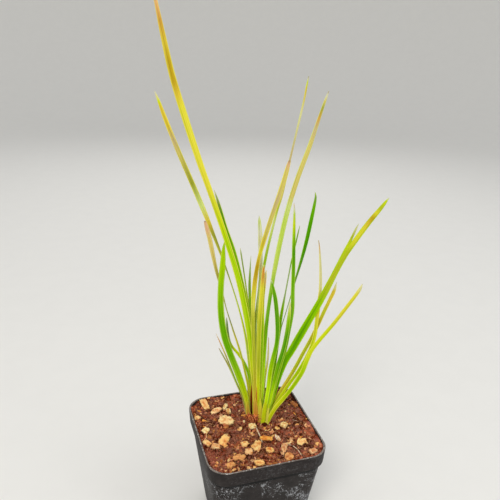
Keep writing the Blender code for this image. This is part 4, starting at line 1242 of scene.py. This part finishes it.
def chip_shape(size, outline, draw, steps=5, skip=1):
    """Points, faces, tones and grain places of a chip about its middle: a flat piece with broken edges."""
    long, wide, thick = size
    corners = [(x * draw.uniform(0.94, 1.08), y * draw.uniform(0.94, 1.08))
               for x, y in rows(OUTLINES[outline])]
    rim = closed_outline(corners, steps, 0.3)
    cant = draw.uniform(-0.12, 0.12), draw.uniform(-0.2, 0.2)
    crown = -0.7 if outline == "half_moon" else draw.uniform(-0.2, 0.3)
    tone = draw.uniform(-0.1, 0.1)
    slice_ = draw.uniform(0, 90)
    rings, tones = [], []
    for part, level in CHIP_LEVELS[::skip]:
        ring = []
        for i, spot in enumerate(rim):
            x, y = spot.x * part, spot.y * part
            top = level + crown * (1 - part * part) * (level > 0)
            ripple = noise.noise(Vector((x * long / 5, y * wide * 1.1, slice_ + level * 3)))
            ripple += 0.5 * noise.noise(Vector((x * long, y * wide, slice_ + 9 + level)) * 1.3)
            shift = 1 + 0.26 * noise.noise(Vector((i * 0.9, level * 2, slice_)))
            height = thick / 2 * (top + 0.6 * ripple) + (cant[0] * x * long + cant[1] * y * wide) / 2
            ring.append(Vector((x * shift * long / 2, y * shift * wide / 2, height)))
            worn = 0.22 * smoothstep(0.95, 0.4, part + 0.5 * ripple) - 0.1
            tones.append(tone + worn + 0.5 * noise.noise(Vector((x * long / 3, y * wide / 3, slice_ + 20))))
        rings.append(ring)
    points, faces = loft(rings)
    offset = Vector((slice_, slice_ * 0.3, 0))
    return points, [tuple(reversed(face)) for face in faces], tones, [point + offset for point in points]


def make_chips():
    """The bark chips, one piece for each of their solids."""
    look = settings().bark
    for i, (chip, bottom) in enumerate(zip(CHIPS, chip_bottoms()), 1):
        draw = random.Random(100 + i)
        thick = look.thickness / MM * draw.uniform(0.7, 1.0)
        height = bottom - look.sink / MM + thick * 0.62 + TILT_LIFT * math.sin(math.radians(chip.tilt))
        heap = Heap()
        heap.add(*chip_shape((chip.length, chip.width, thick), chip.outline, draw),
                 middle=Vector((chip.x, chip.y, height)),
                 form=turning(chip.tilt, ACROSS) @ turning(chip.turn, "Z"))
        node = f"bark_chip_{i:02d}"
        mesh = heap.mesh(f"{node}_rough")
        mesh.set_sharp_from_angle(angle=math.radians(BARK_CREASE))
        add_piece(mesh, [bark_material(chip.shade)], "bark", node)


FLAKE_LIFT = 0.22


def make_flakes():
    """Small flakes of bark: those that the photograph shows, and more between them."""
    draw = random.Random(37)
    shades = ("golden", "honey", "peachy", "orange", "russet", "pinkish", "cream", "pale", "umber")
    heaps = {shade: Heap() for shade in shades}
    placed = [(seen_on_soil(x, y), *form) for x, y, *form in FLAKES]
    for _ in range(settings().soil.flakes):
        x, y = soil_draw(draw, 1.5)
        if nearest_chip(x, y) >= 1.2:
            shade = draw.choices(shades, (1.5, 0.5, 1, 1, 5, 3, 0.5, 0.5, 28))[0]
            long = 0.9 + 2.9 * draw.random() ** (1.4 if shade == "umber" else 1.9)
            spot = Vector((x, y, ground(x, y)))
            placed.append((spot, long, long * draw.uniform(0.4, 0.8), draw.uniform(0, 180), shade))
    for spot, long, wide, turn, shade in placed:
        outline = draw.choice(("slab", "shard", "oval", "bar"))
        shape = chip_shape((long, wide, 0.35 + 0.2 * wide), outline, draw, 2, 2)
        tip = (turning(turn, "Z") @ Matrix.Rotation(draw.uniform(-0.45, 0.45), 3, "X")
               @ Matrix.Rotation(draw.uniform(-0.45, 0.45), 3, "Y"))
        heaps[shade].add(*shape, middle=spot + Vector((0, 0, FLAKE_LIFT)), form=tip)
    whole = Heap()
    for heap in heaps.values():
        whole.add(heap.points, heap.faces, heap.tones, heap.grains)
    mesh = whole.mesh("bark_flakes")
    add_piece(mesh, [bark_material(shade) for shade in shades], "bark")
    slots = [slot for slot, heap in enumerate(heaps.values()) for _ in heap.faces]
    mesh.polygons.foreach_set("material_index", slots)
    mesh.update()


# The leaves

def leaf_knots(leaf):
    """A leaf's knots from its root to its tip, each a point, then its width and turn there."""
    many = len(leaf.path)
    knots = [Vector((*plant_place(*leaf.root, LEAF_FOOT), leaf.foot, 0))]
    for k, (x, y, width, *own_turn) in enumerate(leaf.path, 1):
        rise = max(0, FOOT_ROW - y) / FOOT_ROW
        point = seen_at(x, y, leaf.root[1] + leaf.lean * rise ** LEAN_POWER)
        knots.append(Vector((*point, width, own_turn[0] if own_turn else leaf.twist * (k / many) ** 2)))
    return knots


def runs_along(stations, run=0.0):
    """How far along each station lies, from the run of the first."""
    runs = [run]
    for before, here in zip(stations, stations[1:]):
        runs.append(runs[-1] + (here - before).xyz.length)
    return runs


def blade_section(half_steps):
    """Places across a blade from -1 to 1 and back behind it, each with its part of the thickness."""
    across = [-math.cos(math.pi * step / half_steps) for step in range(half_steps + 1)]
    front = [(x, -(1 - x * x) ** 0.6 if abs(x) < 0.999 else 0.0) for x in across]
    return front + [(x, -y) for x, y in reversed(front[1:-1])]


def blade_mesh(leaf, name):
    """A leaf's mesh, with each point's place along it and across it, and the runs of its stations."""
    look = settings().blades
    stations = smooth_path(leaf_knots(leaf), look.ring_spacing / MM)
    stations.insert(0, Vector((*stations[0].xy, BURIED_FOOT, *stations[0][3:])))
    runs = runs_along(stations)
    section = blade_section(look.half_steps)
    last = len(stations) - 1
    rings = []
    for i, station in enumerate(stations):
        width, turn = station[3:]
        along = (stations[min(i + 1, last)] - stations[max(i - 1, 0)]).xyz.normalized()
        side = turning(turn, along) @ AWAY.cross(along).normalized()
        thickness = look.thickness / MM * min(1, (1 + width / (look.full_width / MM)) / 2)
        face = along.cross(side)
        fold = leaf.fold * width / 2
        rings.append([station.xyz + side * (x * width / 2) + face * (y * thickness / 2 - fold * (1 - abs(x)))
                      for x, y in section])
    heap = Heap()
    heap.add(*loft(rings))
    mesh = heap.mesh(name)
    put_values(mesh, "along", [run / runs[-1] for run in runs for _ in section])
    put_values(mesh, "run", [run for run in runs for _ in section])
    put_values(mesh, "across", [x for _ in runs for x, _ in section])
    return mesh


def shade_stops(leaf):
    """A leaf's colours as stops from its foot to its tip, each where a row of the photograph cuts it."""
    runs = runs_along(leaf_knots(leaf), LEAF_FOOT - BURIED_FOOT)
    knot_rows = [FOOT_ROW, *(knot[1] for knot in leaf.path)]
    stops = []
    for row, tint in leaf.shades:
        for low, high, start, end in zip(knot_rows, knot_rows[1:], runs, runs[1:]):
            if high <= row <= low or high == knot_rows[-1]:
                part = min(1, max(0, (low - row) / (low - high)))
                stops.append(((start + (end - start) * part) / runs[-1], getattr(settings().tints, tint)))
                break
    return stops


def make_leaves():
    """Every leaf of the three fans, one piece for each of their solids."""
    slots = {part["node"]: part["material_slot"] for part in frame["record"]["subparts"]}
    for seed, leaf in enumerate((*LEFT_FAN, *MIDDLE_FAN, *RIGHT_FAN)):
        mesh = blade_mesh(leaf, f"{leaf.name}_blade")
        add_piece(mesh, [blade_material(leaf, seed)], slots[leaf.name], leaf.name)


# The crown

MOUND_LUMPS = 150
TUFT_FIBRES = 150
FIBRES_TO_A_LUMP = 4
FIRST_SHEATH_SEED = 40


def make_crown():
    """The crown: a low mound of old sheath bases, tufts of fibre, and the dry sheaths round the fans."""
    draw = random.Random(53)
    shapes = lump_shapes(6, 9)
    mound, tuft = Heap(), Heap()
    for _ in range(MOUND_LUMPS):
        angle, reach = draw.uniform(0, math.tau), draw.random() ** 0.6
        across = CROWN_MIDDLE[0] + 8.5 * reach * math.cos(angle)
        depth = CROWN_MIDDLE[1] + 5.5 * reach * math.sin(angle) - 0.45 * (across - CROWN_MIDDLE[0])
        size = draw.uniform(0.35, 0.95)
        lump = draw.choice(shapes)
        form = random_turn(draw) @ Matrix.Diagonal((size * 1.5, size, size * 0.7))
        middle = plant_place(across, depth, SOIL_LEVEL - 0.5 + 0.9 * (1 - reach) + draw.uniform(-0.2, 0.3))
        mound.add(*lump, draw.uniform(0.2, 0.9), middle=middle, form=form)
    mound.add(*shapes[1], 0.12, middle=seen_at(*DARK_LUMP), form=Matrix.Diagonal((2.4, 1.4, 1.3)))
    for columns, pixel_rows, depth in TUFTS:
        for turn in range(TUFT_FIBRES):
            spot = seen_at(draw.uniform(*columns), draw.uniform(*pixel_rows), depth + draw.uniform(-0.5, 0.5))
            if turn % FIBRES_TO_A_LUMP == 0:
                lump = draw.choice(shapes)
                form = random_turn(draw) @ Matrix.Diagonal((0.8, 0.5, 0.4)) * draw.uniform(0.4, 1.0)
                tuft.add(*lump, draw.choice((0.0, 0.2)), middle=spot, form=form)
            lean = ACROSS * draw.gauss(0, 0.65) + AWAY * draw.gauss(-0.3, 0.4)
            lean += Vector((0, 0, draw.gauss(0.2, 0.7)))
            droop = Vector((0, 0, -draw.uniform(0.2, 0.7)))
            reach = draw.uniform(0.8, 2.2)
            points = [spot + lean * reach * t + droop * reach * t * t for t in (0, 0.25, 0.5, 0.75, 1)]
            tuft.add(*tube(points, draw.uniform(0.14, 0.32)), draw.choice((0.0, 0.1, 0.5, 1.0, 1.0)))
    tints = settings().tints
    add_piece(mound.mesh("crown_mound", False), [peat_material("crown crumbs")], "crown", "crown")
    add_piece(tuft.mesh("crown_fibres"), [strand_material("sheath fibre", tints.rust, tints.copper)], "crown")
    for seed, sheath in enumerate(SHEATHS, FIRST_SHEATH_SEED):
        add_piece(blade_mesh(sheath, sheath.name), [blade_material(sheath, seed)], "crown")


# The studio

FLOOR_SIDES = 96
SWEEP_STEPS = 12
# Where the lamps look, in metres, as their places are
LAMPS_AIM = Vector((0, 0, 0.14))


def make_floor(look):
    """A pale floor that sweeps up all round, far from the plant."""
    radius, sweep = look.floor_radius / MM, look.wall_radius / MM
    profile = [(radius * part, 0.0) for part in (0.02, 0.1, 0.3, 0.6, 1.0)]
    profile += arc((radius, sweep), sweep, -90, 0, SWEEP_STEPS)[1:]
    rings = [[Vector((reach * math.cos(a), reach * math.sin(a), height))
              for a in (math.tau * k / FLOOR_SIDES for k in range(FLOOR_SIDES))]
             for reach, height in reversed(profile)]
    points, faces = loft(rings, False)
    faces.append(tuple(range(len(points) - FLOOR_SIDES, len(points))))
    heap = Heap()
    heap.add(points, faces)
    material, tree = start_material("pale floor")
    grain = fade(rough(object_place(tree), 40.0), 0.3, 0.7, 0.0, 0.06)
    shade = mixed(grain, look.floor, [0.8 * part for part in look.floor])
    finish_material(material, shade, roughness=0.9, specular=0.1)
    mesh = heap.mesh("studio_floor")
    mesh.materials.append(material)
    floor = bpy.data.objects.new("studio_floor", mesh)
    bpy.context.scene.collection.objects.link(floor)


def add_lamp(name, place, size, power, tint):
    """A square soft lamp that looks at the middle of the plant."""
    lamp = bpy.data.lights.new(name, "AREA")
    lamp.shape = "SQUARE"
    lamp.size = size
    lamp.energy = power
    lamp.color = tint
    holder = bpy.data.objects.new(name, lamp)
    holder.location = place
    holder.rotation_euler = (LAMPS_AIM - Vector(place)).to_track_quat("-Z", "Y").to_euler()
    bpy.context.scene.collection.objects.link(holder)


def add_camera():
    """The camera where the photograph was taken, with its field of view."""
    data = bpy.data.cameras.new("camera")
    data.sensor_width = 36.0
    data.lens = data.sensor_width * PHOTO_FOCAL / PHOTO_SIDE
    data.clip_start = 0.01
    camera = bpy.data.objects.new("camera", data)
    camera.matrix_world = Matrix.Translation(EYE * MM) @ VIEW_TURN.to_4x4()
    bpy.context.scene.collection.objects.link(camera)
    bpy.context.scene.camera = camera


def make_studio():
    """The floor, the light and the camera."""
    look = settings().studio
    make_floor(look)
    add_lamp("key_lamp", (-0.55, -0.75, 0.95), 0.45, look.key_power, (1.0, 0.98, 0.95))
    add_lamp("fill_lamp", (0.85, -0.55, 0.6), 0.8, look.fill_power, (0.95, 0.98, 1.0))
    add_lamp("back_lamp", (0.25, 0.95, 0.9), 0.8, look.back_power, (1.0, 1.0, 1.0))
    world = bpy.data.worlds.new("studio light")
    world.use_nodes = True
    sky = world.node_tree.nodes["Background"]
    fill(world.node_tree, sky, {"Color": look.sky, "Strength": look.sky_strength})
    bpy.context.scene.world = world
    bpy.context.scene.view_settings.view_transform = "Standard"
    add_camera()


# The add-on

class PieceOperator(bpy.types.Operator):
    """Base of the operators that make one piece or one group of like pieces."""
    bl_options = {"REGISTER", "UNDO"}
    make = None

    def execute(self, context):
        """Make it; a piece that can't be made raises an error."""
        type(self).make()
        return {"FINISHED"}


class POTTEDGRASS_OT_pot(PieceOperator):
    """Make the pot"""
    bl_idname = "potted_grass.pot"
    bl_label = "Pot"
    make = staticmethod(make_pot)


class POTTEDGRASS_OT_soil(PieceOperator):
    """Make the soil's body and surface"""
    bl_idname = "potted_grass.soil"
    bl_label = "Soil"
    make = staticmethod(make_soil)


class POTTEDGRASS_OT_crumbs(PieceOperator):
    """Make the loose crumbs of peat"""
    bl_idname = "potted_grass.crumbs"
    bl_label = "Crumbs"
    make = staticmethod(make_crumbs)


class POTTEDGRASS_OT_fibres(PieceOperator):
    """Make the fibres and the straws"""
    bl_idname = "potted_grass.fibres"
    bl_label = "Fibres and Straws"
    make = staticmethod(make_fibres)


class POTTEDGRASS_OT_chips(PieceOperator):
    """Make the bark chips"""
    bl_idname = "potted_grass.chips"
    bl_label = "Bark Chips"
    make = staticmethod(make_chips)


class POTTEDGRASS_OT_flakes(PieceOperator):
    """Make the small flakes of bark"""
    bl_idname = "potted_grass.flakes"
    bl_label = "Bark Flakes"
    make = staticmethod(make_flakes)


class POTTEDGRASS_OT_crown(PieceOperator):
    """Make the crown with its sheaths"""
    bl_idname = "potted_grass.crown"
    bl_label = "Crown"
    make = staticmethod(make_crown)


class POTTEDGRASS_OT_leaves(PieceOperator):
    """Make the leaves"""
    bl_idname = "potted_grass.leaves"
    bl_label = "Leaves"
    make = staticmethod(make_leaves)


class POTTEDGRASS_OT_studio(PieceOperator):
    """Make the floor, the light and the camera"""
    bl_idname = "potted_grass.studio"
    bl_label = "Studio"
    make = staticmethod(make_studio)


OPERATORS = (
    POTTEDGRASS_OT_pot, POTTEDGRASS_OT_soil, POTTEDGRASS_OT_crumbs, POTTEDGRASS_OT_fibres,
    POTTEDGRASS_OT_chips, POTTEDGRASS_OT_flakes, POTTEDGRASS_OT_crown, POTTEDGRASS_OT_leaves,
    POTTEDGRASS_OT_studio,
)


class POTTEDGRASS_PT_panel(bpy.types.Panel):
    """Lists the potted grass's pieces"""
    bl_label = "Potted Grass"
    bl_idname = "POTTEDGRASS_PT_panel"
    bl_space_type = "VIEW_3D"
    bl_region_type = "UI"
    bl_category = "Potted Grass"

    def draw(self, context):
        """Draw one button for each operator."""
        for operator in OPERATORS:
            self.layout.operator(operator.bl_idname)


CLASSES = (
    PottedGrassBladeTints, PottedGrassBlades, PottedGrassPot, PottedGrassSoil, PottedGrassBark,
    PottedGrassStudio, PottedGrassSettings, *OPERATORS, POTTEDGRASS_PT_panel,
)


def register():
    """Register the classes and the settings."""
    for each in CLASSES:
        bpy.utils.register_class(each)
    bpy.types.Scene.potted_grass = PointerProperty(type=PottedGrassSettings)


def unregister():
    """Take the classes and the settings out again."""
    del bpy.types.Scene.potted_grass
    for each in reversed(CLASSES):
        bpy.utils.unregister_class(each)


def main():
    """Make every piece in order."""
    register()
    for make_group in (make_blade_group, make_peat_group, make_bark_group, make_dust_group):
        make_group()
    for operator in OPERATORS:
        space, name = operator.bl_idname.split(".")
        getattr(getattr(bpy.ops, space), name)()


if __name__ == "__main__":
    main()
